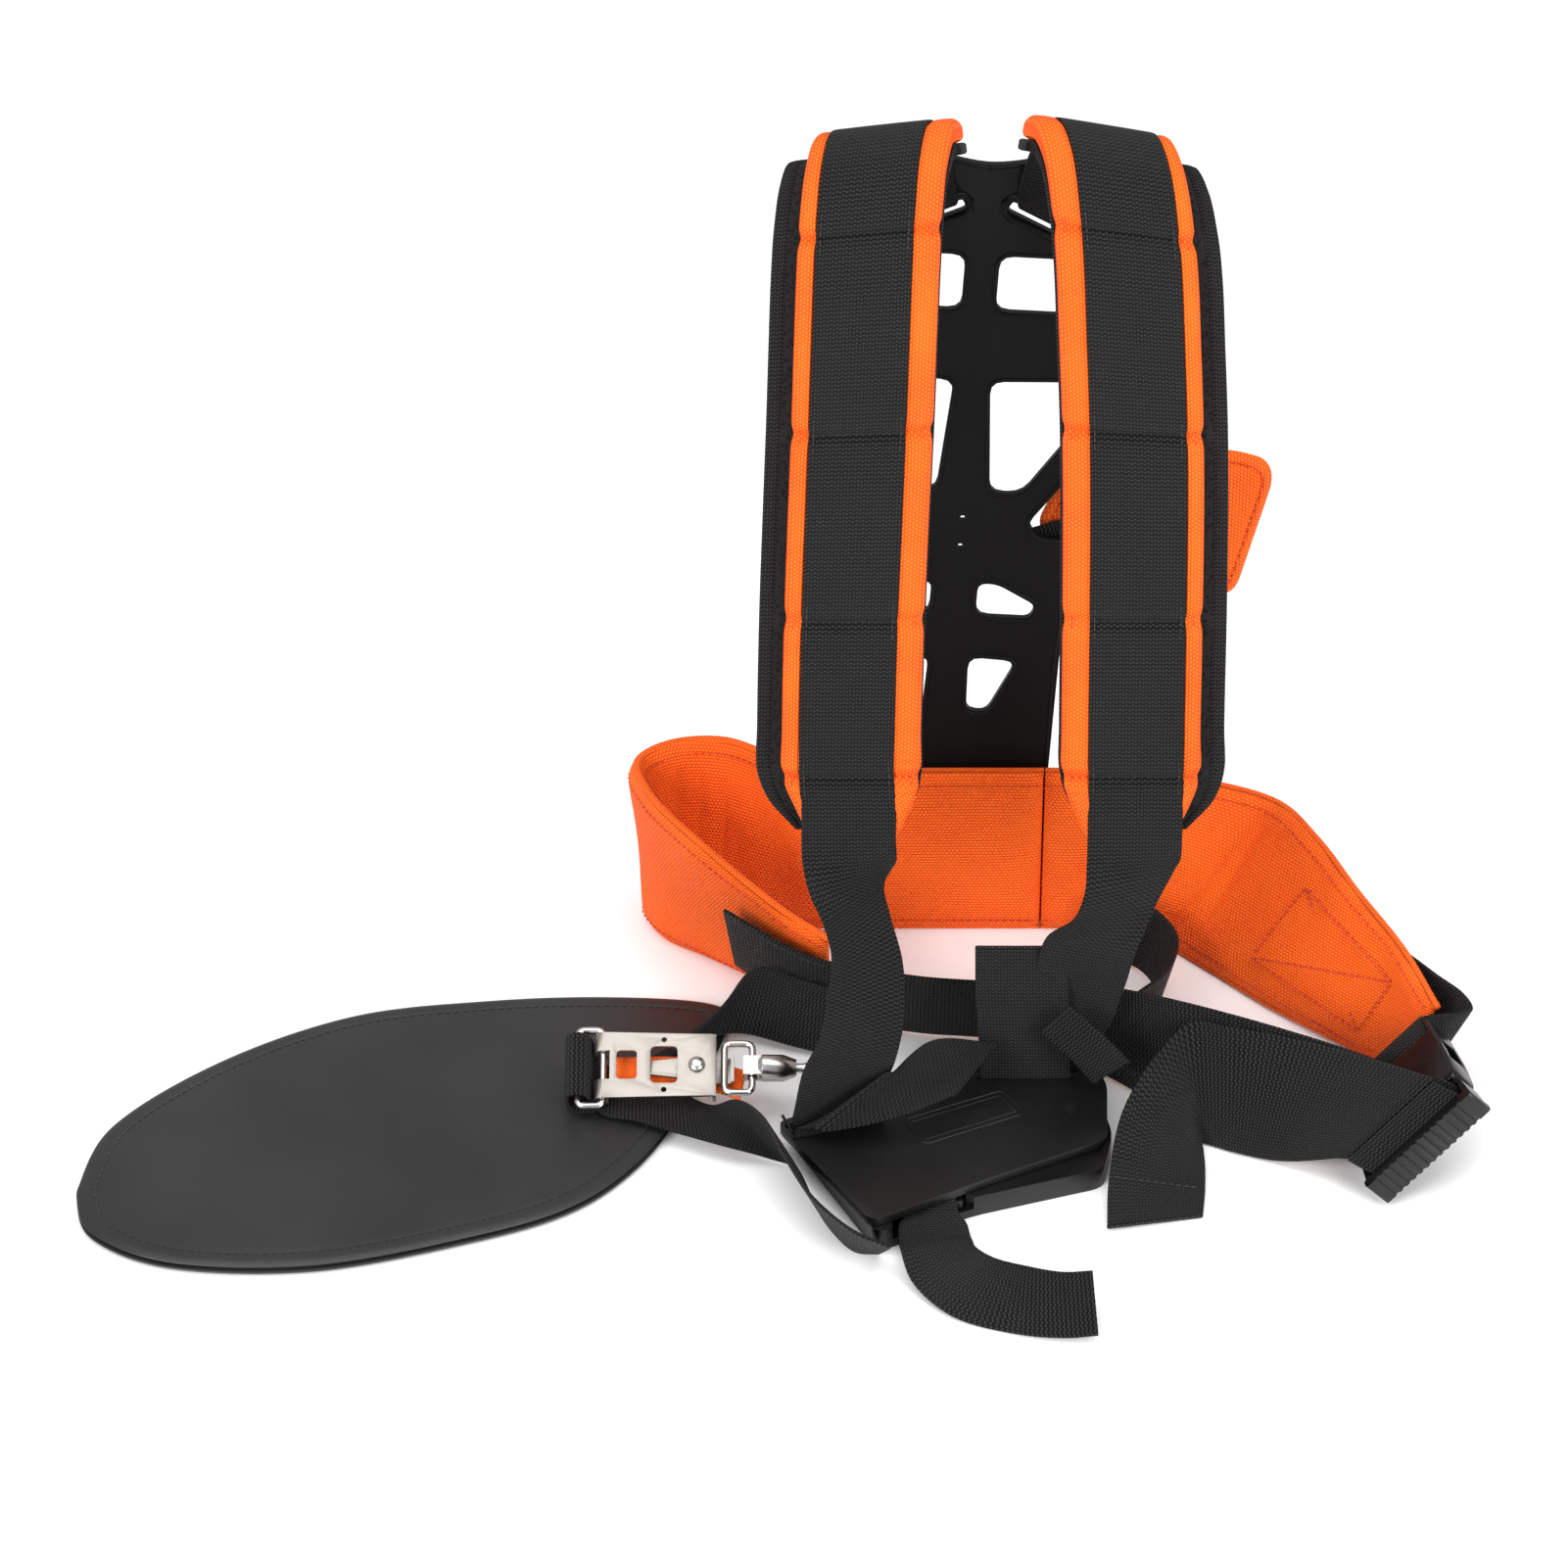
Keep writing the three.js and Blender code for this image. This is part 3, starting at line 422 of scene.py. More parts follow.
def woven(name, dark, light, across, along, depth, roughness=0.7, sheen=0.25, crease=0.0006,
          shift=0.5, patchy=0.45, ribbed=0.0):
    """Cloth or webbing: yarn crowns, uneven dye, and soft creases over the weave; the colour is painted
    darker in the gaps between the crowns as shade.
    """
    g = Graph(name, roughness, Sheen_Weight=sheen, Sheen_Roughness=0.45, Specular_IOR_Level=0.2)
    crown = g.weave(across, along, shift, ribbed)
    patch = g.noise(g.object, 28.0, 3.0)
    fibre = g.noise(g.object, 1900.0, 2.0)
    # painted shade: colour darker in the gaps between yarn crowns and lighter on the crowns, mixed with the
    # uneven dye of the patch noise
    share = g.math("ADD", g.math("MULTIPLY", crown, 0.7), g.math("MULTIPLY", patch, patchy))
    colour = g.blend(g.span(share, 0.1 + 0.5 * ribbed, 0.75, 0.0, 1.0), dark, light)
    soft = g.bump(g.noise(g.object, 42.0, 3.0), crease * 3, 0.5)
    fuzz = g.bump(fibre, 0.00012, 0.35, soft)
    normal = g.bump(crown, depth, 0.9, fuzz)
    rough = g.span(g.math("ADD", patch, fibre), 0.6, 1.4, roughness - 0.08, roughness + 0.12)
    return g.finish(colour, rough, normal)


BLACK_WEB = woven("black_webbing", (0.0001, 0.0001, 0.0001, 1), (0.024, 0.0235, 0.0245, 1),
                  across=0.0014, along=0.0018, depth=0.0014, roughness=0.62, sheen=0.02,
                  crease=0.0004, shift=0.25, patchy=0.1, ribbed=0.6)
ORANGE = woven("orange_nylon", (0.84, 0.052, 0.004, 1), (1.0, 0.16, 0.011, 1),
               across=0.0015, along=0.0018, depth=0.0009, roughness=0.64, sheen=0.0, crease=0.0012)
TAPE = woven("orange_tape", (0.8, 0.07, 0.003, 1), (1.0, 0.16, 0.01, 1),
             across=0.0016, along=0.0011, depth=0.0005, roughness=0.68, sheen=0.15)
THREAD_ORANGE = woven("orange_thread", (0.34, 0.014, 0.002, 1), (0.62, 0.04, 0.004, 1),
                      across=0.0006, along=0.0009, depth=0.0002, roughness=0.6, sheen=0.2)
THREAD_BLACK = woven("black_thread", (0.002, 0.002, 0.002, 1), (0.02, 0.02, 0.021, 1),
                     across=0.0006, along=0.0009, depth=0.0002, roughness=0.6, sheen=0.2)


def mesh_lining():
    """Black spacer mesh: small round holes in rows, with a fuzzy rim; the colour is painted darker down in
    the holes as shade.
    """
    g = Graph("black_mesh", 0.9, Sheen_Weight=0.06, Sheen_Roughness=0.6, Specular_IOR_Level=0.2)
    hole = g.cells(g.uv, 420.0)
    rim = g.span(hole, 0.25, 0.5, 0.0, 1.0)
    fuzz = g.noise(g.object, 1500.0, 2.0)
    # painted shade: darker colour down in the holes, lighter on their rims
    colour = g.blend(rim, (0.0006, 0.0006, 0.0007, 1), (0.007, 0.007, 0.0075, 1))
    normal = g.bump(rim, 0.0006, 0.8, g.bump(fuzz, 0.0002, 0.5))
    return g.finish(colour, g.span(fuzz, 0.3, 0.7, 0.8, 0.98), normal)


def moulded(name, colour, roughness, grain=900.0, depth=0.00006, shine=0.45):
    """Satin moulded plastic: fine spark grain, faint flow marks and handling scuffs."""
    g = Graph(name, roughness, Specular_IOR_Level=shine)
    spark = g.noise(g.object, grain, 3.0)
    flow = g.noise(g.object, 14.0, 4.0)
    scuff = g.noise(g.object, 60.0, 6.0, (1.0, 1.0, 7.0))
    worn = g.span(scuff, 0.62, 0.8, 0.0, 1.0)
    pale = tuple(c * 2.2 + 0.002 for c in colour[:3]) + (1,)
    share = g.math("ADD", g.math("MULTIPLY", worn, 0.45), g.math("MULTIPLY", flow, 0.2))
    tint = g.blend(share, colour, pale)
    normal = g.bump(spark, depth, 0.6, g.bump(flow, 0.0012, 0.25))
    rough = g.math("ADD", g.span(flow, 0.3, 0.7, roughness - 0.07, roughness + 0.07),
                   g.math("MULTIPLY", worn, 0.12))
    return g.finish(tint, rough, normal)


PLASTIC = moulded("black_plastic", (0.0018, 0.0018, 0.002, 1), roughness=0.42)
PLATE = moulded("black_plastic_plate", (0.0015, 0.0011, 0.0011, 1),
                roughness=0.5, grain=700.0, depth=0.00008, shine=0.22)
GLOSSY = moulded("black_plastic_glossy", (0.0015, 0.0015, 0.0017, 1),
                 roughness=0.3, grain=500.0, depth=0.00003, shine=0.38)


def grained_leather():
    """Coated hide-like sheet: pebble grain, broad unevenness and a soft satin coat."""
    g = Graph("leatherette", 0.4, Specular_IOR_Level=0.45)
    pebble = g.cells(g.object, 1100.0, "SMOOTH_F1")
    broad = g.noise(g.object, 9.0, 3.0)
    fine = g.noise(g.object, 260.0, 4.0)
    share = g.span(broad, 0.35, 0.65, 0.0, 1.0)
    colour = g.blend(share, (0.0085, 0.0085, 0.009, 1), (0.016, 0.016, 0.0166, 1))
    normal = g.bump(pebble, 0.00012, 0.55, g.bump(broad, 0.004, 0.3))
    rough = g.math("ADD", g.span(broad, 0.3, 0.7, 0.36, 0.46), g.math("MULTIPLY", fine, 0.1))
    return g.finish(colour, rough, normal)


def nickel(name, roughness, grain, dark, light):
    """Nickel-plated steel: rolling lines, smudges and small pits."""
    g = Graph(name, roughness, 1.0)
    lines = g.noise(g.object, 900.0, 3.0, grain)
    smudge = g.noise(g.object, 70.0, 4.0)
    pits = g.cells(g.object, 420.0)
    colour = g.blend(smudge, dark, light)
    rough = g.math("ADD", g.span(smudge, 0.3, 0.7, roughness - 0.06, roughness + 0.1),
                   g.math("MULTIPLY", lines, 0.08))
    normal = g.bump(lines, 0.00005, 0.5, g.bump(pits, 0.00006, 0.3))
    return g.finish(colour, rough, normal)


LINING = mesh_lining()
LEATHER = grained_leather()
NICKEL = nickel("nickel_plate", roughness=0.34, grain=(0.05, 1.0, 1.0),
                dark=(0.26, 0.235, 0.215, 1), light=(0.42, 0.39, 0.36, 1))
CHROME = nickel("nickel_wire", roughness=0.17, grain=(0.2, 1.0, 1.0),
                dark=(0.42, 0.41, 0.39, 1), light=(0.62, 0.6, 0.58, 1))


def dress(obj, material, body="harness", replaces=()):
    """Gives a piece its material, its body and the CAD nodes it stands for."""
    obj.data.materials.clear()
    obj.data.materials.append(material)
    if body and "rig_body" not in obj:
        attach(obj, body)
    if replaces:
        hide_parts(*replaces)
    return obj


def strap(name, node, stations, width, material=BLACK_WEB, body="harness", **options):
    """A dressed strap standing for its CAD node; returns the sheet it was laid on."""
    web, sheet = webbing(name, stations, width, **options)
    dress(web, material, body, [node])
    return sheet


# ---------------------------------------------------------------- stitches
# one stitch's rings: share of its length, share of its width, share of its height
STITCH_RINGS = ((0, 0.35, 0.0), (0.2, 0.9, 0.75), (0.5, 1, 1.0), (0.8, 0.9, 0.75), (1, 0.35, 0.0))
STITCH_SIDES = 6


def stitch_line(points, normals, pitch=3.4, length=2.5, thread=0.55, lift=0.15):
    """Corners and faces of short thread lozenges laid along a line on a surface."""
    p, facing = np.array(points, float), unit(normals)
    walked = np.concatenate([[0], np.cumsum(np.linalg.norm(np.diff(p, axis=0), axis=1))])
    spots = np.arange(pitch / 2, walked[-1] - length / 2, pitch)
    verts, faces = [], []
    for spot in spots:
        at = lambda d: np.array([np.interp(spot + d, walked, p[:, k]) for k in range(3)])
        up = unit(np.array([np.interp(spot, walked, facing[:, k]) for k in range(3)]))
        start, end = at(-length / 2), at(length / 2)
        side = unit(np.cross(end - start, up)) * thread / 2
        base = len(verts)
        for share, wide, high in STITCH_RINGS:
            centre = start + (end - start) * share + up * (lift + (high - 0.6) * thread * 0.5)
            for turn in range(STITCH_SIDES):
                angle = turn * math.pi * 2 / STITCH_SIDES
                verts.append(centre + side * wide * math.cos(angle)
                             + up * thread / 2 * wide * math.sin(angle))
        n, last = STITCH_SIDES, base + (len(STITCH_RINGS) - 1) * STITCH_SIDES
        for row in range(base, last, n):
            faces += [[row + k, row + (k + 1) % n, row + (k + 1) % n + n, row + k + n] for k in range(n)]
        faces += [[base + k for k in reversed(range(n))], [last + k for k in range(n)]]
    return verts, faces


def stitches(name, lines, material, body="harness", **options):
    """One object holding the stitches of several (points, normals) lines."""
    verts, faces = [], []
    for points, normals in lines:
        more, loops = stitch_line(points, normals, **options)
        faces += [[i + len(verts) for i in f] for f in loops]
        verts += more
    uv = [(i % 6 * 0.3, i * 0.1) for i in range(len(verts))]
    return dress(face_out(new_mesh(name, verts, faces, uv)), material, body)


def on_band(sheet, s, height, rows=None):
    """A line along a band at share s across it, on the outer side at that height."""
    rows = range(len(sheet.a)) if rows is None else rows
    points = [sheet.a[r] + (sheet.b[r] - sheet.a[r]) * s - sheet.normal[r] * height for r in rows]
    return points, [-sheet.normal[r] for r in rows]


def across_band(sheet, row, low, high, height, count=24):
    """A line across a band at one row, between shares low and high."""
    share = np.linspace(low, high, count)
    points = [sheet.a[row] + (sheet.b[row] - sheet.a[row]) * s - sheet.normal[row] * height for s in share]
    return points, [-sheet.normal[row]] * count


def both_faces(line, *where, height, **options):
    """The same line on a band's outer and inner faces."""
    pairs = [(side, line(*where, height=height * side, **options)) for side in (1, -1)]
    return [(points, [n * side for n in normals]) for side, (points, normals) in pairs]


# ---------------------------------------------------------------- shoulder pads and their webbing
ARCH = [
    (-9, 382), (-14, 397), (-25, 413), (-40, 427), (-54, 432), (-68, 425), (-80, 408),
    (-87, 388), (-93, 355), (-99, 320), (-104, 291), (-115, 232), (-124, 181), (-128, 161),
    (-131, 147), (-133, 134)]
ARCH_X = {
    "left": (53, 51, 47, 43, 39, 36, 34, 33, 32, 31, 30, 28, 27, 27, 28, 28),
    "right": (121, 124, 128, 132, 136, 140, 143, 145, 147, 149, 150, 151, 151.5, 152, 152, 152)}
ARCH_TILT = {"left": 0.12, "right": -0.18}  # rise per unit of x over the top
SHOULDER_WEB, PAD_WIDTH, LINING_WIDTH = 41, 60, 70
CHEST_SIDE = -60  # the arch's chest side lies in front of this y
SHELL_FACE, SHELL_BACK = -1.2, 7.9  # the shell's faces, from the webbing's middle
LINING_FACE, LINING_BACK = -8.4, 12.3
PAD_FOOT = -134  # the webbing leaves the pads in front of this y
PAD_START = 3  # the pads begin just behind the top of the arch; the webbing goes on alone
SEAMS = (401, 315, 232, 161)  # heights of the quilt seams on the chest side


def arch(side, shift, widths):
    """The stations over a shoulder, tilted towards the neck at the top and level on the chest side."""
    stations = []
    for i, (y, z) in enumerate(ARCH):
        tilt = ARCH_TILT[side] * min(1, max(0, (11 - i) / 6))  # fades out down the chest
        stations.append(((ARCH_X[side][i] + shift, y, z + shift * tilt), (1, 0, tilt), widths(i)))
    return stations


def pad_width(full):
    """A pad's width at each station, narrowed over its last two."""
    return lambda i: 40 if i == len(ARCH) - 1 else full - 9 if i == len(ARCH) - 2 else full


def from_seam(sheet):
    """Each row's distance from the nearest quilt seam."""
    middle = (sheet.a + sheet.b) / 2
    near = np.full(len(middle), 99.0)
    for height in SEAMS:
        front = middle[:, 1] < CHEST_SIDE
        near = np.where(front, np.minimum(near, np.abs(middle[:, 2] - height)), near)
    return near


def quilting(sheet):
    """How far the stuffing lifts each row: creased on the seams, full between them."""
    near = from_seam(sheet)
    return (2.0 * np.sqrt(np.clip(near / 26, 0, 1)) - 2.0 * np.exp(-((near / 2.0) ** 2)))[:, None]


def seam_row(sheet, height, *off):
    """The row of a sheet at a height on its chest side, away from the rows in the off masks."""
    away = sum((mask * 999 for mask in (sheet.a[:, 1] > CHEST_SIDE, *off)), np.abs(sheet.a[:, 2] - height))
    return int(np.argmin(away))


def soft_rim(s, width, radius, least):
    """A band's roundness across it: 1 in the middle, falling off over radius at its two edges."""
    return np.sqrt(np.clip(np.minimum(s, 1 - s) * width / radius, least, 1))


def shoulder_pad(side, inward):
    """The orange shell blown up beside the webbing, the lining under it and the lining's bindings."""
    shift = 2 * inward
    columns = np.array([0, 0.8, 2.2, 4, 6, 8, 9.5, 11, 14, 20, 30,
                        40, 46, 49, 50.5, 52, 54, 56, 57.8, 59.2, 60]) / PAD_WIDTH
    stations = arch(side, shift, pad_width(PAD_WIDTH))[PAD_START:]
    sheet = Sheet(*edges(stations, PAD_WIDTH), 260, columns)
    near = from_seam(sheet)[:, None]
    seam = np.clip(1 - near / 4, 0, 1)
    pinch = unit(sheet.b - sheet.a) * 1.1 * np.exp(-((near / 3.0) ** 2))
    sheet.a, sheet.b = sheet.a + pinch, sheet.b - pinch
    from_web = np.abs(sheet.s * PAD_WIDTH - PAD_WIDTH / 2 + shift) - SHOULDER_WEB / 2
    beside = np.clip(from_web / 2.0, 0, 1)[None]
    rim = soft_rim(sheet.s, PAD_WIDTH, 3.2, 0.02)[None]
    pucker = 0.5 * np.sin(near * 1.5) * np.exp(-near / 9) * beside
    swell = beside * rim * (1 - 0.9 * seam) * 2.0
    below = np.clip((sheet.length[:, None] - sheet.length[-1] + 16) / 8, 0, 1) * 1.6
    outer = SHELL_FACE + swell + pucker + quilting(sheet) - (1 - rim) * 2.8 - below
    inner = SHELL_BACK - (1 - rim) * 2.6
    pad = band(f"shoulder_shell_{side}", sheet, outer, inner)
    rows, cols = len(sheet.a), len(columns)
    held = np.ones((2, rows, cols), bool)
    held[0] = (beside * rim * (1 - seam)) < 0.35
    held[0, :3] = held[0, -3:] = True
    inflate(pad, held.ravel(), pressure=4.0, cap=1.9)
    finer(pad)
    dress(pad, ORANGE, replaces=[f"shoulder_pad_{side}"])

    columns = np.array([0, 0.6, 1.8, 4, 8, 14, 24, 35, 46, 56, 62, 66, 68.2, 69.4, 70]) / LINING_WIDTH
    stations = arch(side, -3 * inward, pad_width(LINING_WIDTH))[PAD_START:]
    back = Sheet(*edges(stations, LINING_WIDTH), 110, columns)
    rim = soft_rim(back.s, LINING_WIDTH, 2.4, 0.03)[None]
    dip = np.clip(1 - from_seam(back) / 5, 0, 1)[:, None]
    lining = band(f"shoulder_lining_{side}_cloth", back, LINING_FACE - (1 - rim) * 1.4,
                  LINING_BACK - (1 - rim) * 1.4 - dip + 0.6 * (1 - dip) * rim)
    dress(finer(lining), LINING, replaces=[f"shoulder_lining_{side}"])

    binding = []
    for low, high in ((-0.01, 0.085), (0.915, 1.01)):
        lines = [back.a + (back.b - back.a) * share for share in (low, high)]
        tape = Sheet(*lines, 110, np.array([0, 0.03, 0.09, 0.3, 0.7, 0.92, 1]))
        soft = soft_rim(tape.s, 7, 0.9, 0.05)[None]
        binding.append(band("binding", tape, -7.8 - (1 - soft) * 1.3, 12.8 - (1 - soft) * 1.3))
    dress(merge(f"shoulder_binding_{side}", binding), BLACK_WEB)

    lines = [across_band(sheet, seam_row(sheet, height), 0.03, 0.97, -2.4) for height in SEAMS]
    lines += [on_band(sheet, s, -0.2) for s in (0.055, 0.945)]
    stitches(f"pad_stitches_{side}", lines, THREAD_ORANGE, thread=0.5, lift=0.2)


for pad_side, pad_inward in (("left", 1), ("right", -1)):
    shoulder_pad(pad_side, pad_inward)

LEFT_END = [
    ((28.3, -135.6, 123), (0.99, 0.1, 0)), ((28.3, -139.7, 115), (0.87, 0.48, 0)),
    ((29.2, -147, 108), (0.66, 0.75, 0)), ((32, -159, 100), (0.62, 0.78, 0)),
    ((34, -171, 86), (0.8, 0.6, 0)), ((33, -180, 68), (0.9, 0.43, 0)),
    ((28, -182, 49), (0.97, 0.2, 0)), ((23.5, -178.5, 30), (0.94, 0.34, 0)),
    ((21.5, -175.7, 14), (0.94, 0.34, 0)), ((21.8, -176.8, 7.6), (0.94, 0.34, 0)),
    ((23, -180, 5.6), (0.94, 0.34, 0)), ((24.2, -183.2, 7.6), (0.94, 0.34, 0)),
    ((24.4, -184, 13), (0.94, 0.34, 0)), ((24.6, -184.4, 18), (0.94, 0.34, 0.04)),
    ((30, -188, 31), (0.8, 0.25, 0.55)), ((53, -181, 38), (0.5, 0.62, 0.6)),
    ((84, -170, 35), (0.47, 0.88, 0.05))]
RIGHT_END = [
    ((151.5, -135.6, 123), (0.99, 0.1, 0)), ((149, -139.7, 115), (0.94, 0.34, 0)),
    ((143.5, -143.5, 104), (0.9, 0.43, -0.08)), ((134, -145, 87.5), (0.97, 0.1, -0.25)),
    ((129.5, -141, 65), (0.98, 0.05, -0.15)), ((122, -138, 38), (1, 0, -0.1)),
    ((111, -137, 23), (1, 0, 0)), ((108, -136.5, 14), (1, 0, 0)), ((107.5, -138.5, 7.5), (1, 0, 0)),
    ((107, -142, 5.8), (1, 0, 0)), ((107, -145.5, 8), (1, 0, 0)), ((107, -146.5, 15), (1, 0, 0)),
    ((106, -147.5, 40), (1, 0, 0)), ((104.5, -147, 62), (1, 0, 0)), ((104, -146, 84), (1, 0, 0))]


def shoulder_webbing(side, slot_x, slot_z, slope, end):
    """The webbing from its slot in the plate, over the shoulder and down to its end."""
    across = (1, 0, slope)
    slot = [((slot_x, y, slot_z + rise), across) for y, rise in
            ((4.4, 21), (4.4, 8), (3.6, 2), (1.4, -0.1), (-1.5, -0.5), (-4.2, 0.6), (-7, 7))]
    over = arch(side, 0, lambda i: SHOULDER_WEB)
    dent = lambda sheet: quilting(sheet) * np.ones(len(sheet.s))[None]
    sheet = strap(f"shoulder_strap_{side}", f"shoulder_webbing_{side}", slot + over + end,
                  SHOULDER_WEB, rows_per=18, lift=dent)
    foot = sheet.a[:, 1] < PAD_FOOT
    lines = [across_band(sheet, seam_row(sheet, height, foot), 0.02, 0.98, -1.1) for height in SEAMS]
    rows = range(100, seam_row(sheet, 150, foot))
    lines += [on_band(sheet, s, 1.6, rows) for s in (0.05, 0.95)]
    stitches(f"strap_stitches_{side}", lines, THREAD_BLACK, thread=0.5, lift=0.15)


shoulder_webbing("left", 56, 365, 0.4, LEFT_END)
shoulder_webbing("right", 118, 361.4, -0.54, RIGHT_END)

# ---------------------------------------------------------------- waist belt
SEAM_LEFT, SEAM_RIGHT, GAP = 19, 119, 0.3
BELT_BACK, BELT_FOOT, BELT_HEAD, BELT_THICK = -6.8, 0.6, 87, 9
BELT = {
    "back_panel": (
        [(x, BELT_BACK, BELT_FOOT) for x in (SEAM_LEFT + GAP, 69, SEAM_RIGHT - GAP)],
        [(x, BELT_BACK, BELT_HEAD) for x in (SEAM_LEFT + GAP, 69, SEAM_RIGHT - GAP)]),
    "wing_right": (
        [(SEAM_RIGHT + GAP, BELT_BACK, BELT_FOOT), (129, BELT_BACK, 0.7), (148, -6.4, 1), (173, -20, 1.4),
         (195, -43, 1.7), (222, -74, 2), (250, -101, 2.5), (275, -127, 3.4)],
        [(SEAM_RIGHT + GAP, BELT_BACK, BELT_HEAD), (129, BELT_BACK, BELT_HEAD), (154, -3, 85),
         (224, -10, 73),
         (242, -37, 70), (258, -70, 63), (276, -106, 56), (288, -140, 49)]),
    "wing_left": (
        [(SEAM_LEFT - GAP, BELT_BACK, BELT_FOOT), (10, BELT_BACK, 0.6), (-4, -4.5, 0.8), (-28, 6, 1),
         (-50, 9, 1),
         (-61, 0, 1), (-54, -16, 1), (-36, -31, 2), (0, -59, 2.6), (20, -71, 3)],
        [(SEAM_LEFT - GAP, BELT_BACK, BELT_HEAD), (10, BELT_BACK, BELT_HEAD), (-4, 6, 86), (-28, 23, 85),
         (-52, 22, 84), (-67, 7, 84), (-61, -20, 83), (-38, -54, 79), (0, -81, 60), (20, -90, 51)])}


def belt_part(name, rows, wrinkle, cap):
    """A padded belt panel, held at its bound edges and ends and blown up between them."""
    columns = np.array([0, 1, 2.6, 4.5, 7, 11, 17, 24, 32, 40,
                        48, 56, 64, 71, 77, 81, 83.5, 85.5, 87]) / BELT_HEAD
    sheet = Sheet(*BELT[name], rows, columns)
    rim = soft_rim(sheet.s, sheet.width[:, None], 7, 0.05)
    end = np.minimum(sheet.length, sheet.length[-1] - sheet.length)[:, None]
    close = np.sqrt(np.clip(end / 5, 0.12, 1))
    body = rim * close
    along = sheet.length[:, None]
    lean = sheet.s[None] * 5.0
    folds = wrinkle * body * (np.sin(along / 9.0) * np.sin(lean) + 0.8 * np.sin(along / 15.0 + lean + 1.3)
                              + 0.35 * np.sin(along / 4.3 - lean * 1.7))
    half = 0.6 + (BELT_THICK / 2 - 1.0) * body
    pad = band(f"belt_{name}_cloth", sheet, half + folds, half - folds)
    inflate(pad, np.stack([body < 0.8] * 2).ravel(), pressure=4.5, cap=cap)
    finer(pad)
    dress(pad, ORANGE, replaces=[f"belt_{name}"])
    rope = []
    for bound, side in ((sheet.a, 1), (sheet.b, -1)):
        rope.append(tube("rope", bound + unit(sheet.b - sheet.a) * side, 2.0, 10))
    dress(merge(f"belt_piping_{name}", rope), ORANGE)
    lines = []
    for s in (0.07, 0.93):
        lines += both_faces(on_band, sheet, s, height=3.75)
    stitches(f"belt_stitches_{name}", lines, THREAD_ORANGE, thread=0.7, lift=0.5)
    return sheet


BACK_PANEL = belt_part("back_panel", 40, 0.2, 2.2)
WING_RIGHT = belt_part("wing_right", 110, 0.75, 2.6)
WING_LEFT = belt_part("wing_left", 130, 0.6, 2.2)


def bent(material, node, name, width=1.2, segments=3):
    """A CAD solid with generously rounded edges and its own material."""
    obj = softened(node, width, segments, name=name)
    if not obj.data.uv_layers:
        obj.data.uv_layers.new(name="UVMap")
    where = np.array([v.co for v in obj.data.vertices])
    corner = np.zeros(len(obj.data.loops), int)
    obj.data.loops.foreach_get("vertex_index", corner)
    flat = np.stack([where[:, 0] + where[:, 1] * 0.35, where[:, 2] + where[:, 1] * 0.2], -1)
    obj.data.uv_layers[0].data.foreach_set("uv", flat[corner].astype(np.float32).ravel())
    return dress(obj, material, None)


bent(ORANGE, "belt_pocket", "belt_pocket_cloth", 1.2)


def load_pad():
    """The flap behind the plate: a puffed pad with a bound, stitched edge."""
    corners = [(112, 208), (124, 234), (160, 246), (198, 247),
               (215, 242), (218, 232), (203, 172), (150, 170)]
    ring = rounded(corners, 7, 5)
    pad, held = dome("load_pad_cloth", ring, 8, 3.9, 3.9, axis="y")
    inflate(pad, held, pressure=3.5, cap=1.8)
    dress(finer(pad), ORANGE, replaces=["load_pad"])
    inset = ring_inset(ring, 4.5)
    closed = np.vstack([inset, inset[:1]])
    for name, y, facing in (("front", 3.9, -1), ("back", 12.1, 1)):
        points = [(x, y, z) for x, z in closed]
        normals = [(0, facing, 0)] * len(points)
        stitches(f"load_pad_stitches_{name}", [(points, normals)], THREAD_ORANGE, lift=-0.9)


def rounded(corners, radius, steps=4):
    """A polygon's outline with its corners rounded off, as points."""
    ring = []
    n = len(corners)
    for i, here in enumerate(corners):
        here, before, after = (np.array(c, float) for c in (here, corners[i - 1], corners[(i + 1) % n]))
        cut = min(radius, np.linalg.norm(before - here) / 2.2, np.linalg.norm(after - here) / 2.2)
        start, end = here + unit(before - here) * cut, here + unit(after - here) * cut
        for t in np.linspace(0, 1, steps + 1):
            ring.append((1 - t) ** 2 * start + 2 * t * (1 - t) * here + t * t * end)
    return np.array(ring)


def resample(ring, step):
    """The same closed outline with evenly spaced points."""
    closed = np.vstack([ring, ring[:1]])
    walked = np.concatenate([[0], np.cumsum(np.linalg.norm(np.diff(closed, axis=0), axis=1))])
    spots = np.linspace(0, walked[-1], max(12, int(walked[-1] / step)), endpoint=False)
    return np.stack([np.interp(spots, walked, closed[:, k]) for k in (0, 1)], -1)


def ring_inset(ring, depth):
    """The outline moved inwards by depth."""
    tangent = unit(np.roll(ring, -1, 0) - np.roll(ring, 1, 0))
    inward = np.stack([-tangent[:, 1], tangent[:, 0]], -1)
    x, y = ring[:, 0], ring[:, 1]
    if np.sum(x * np.roll(y, -1) - y * np.roll(x, -1)) < 0:
        inward = -inward
    return ring + inward * depth


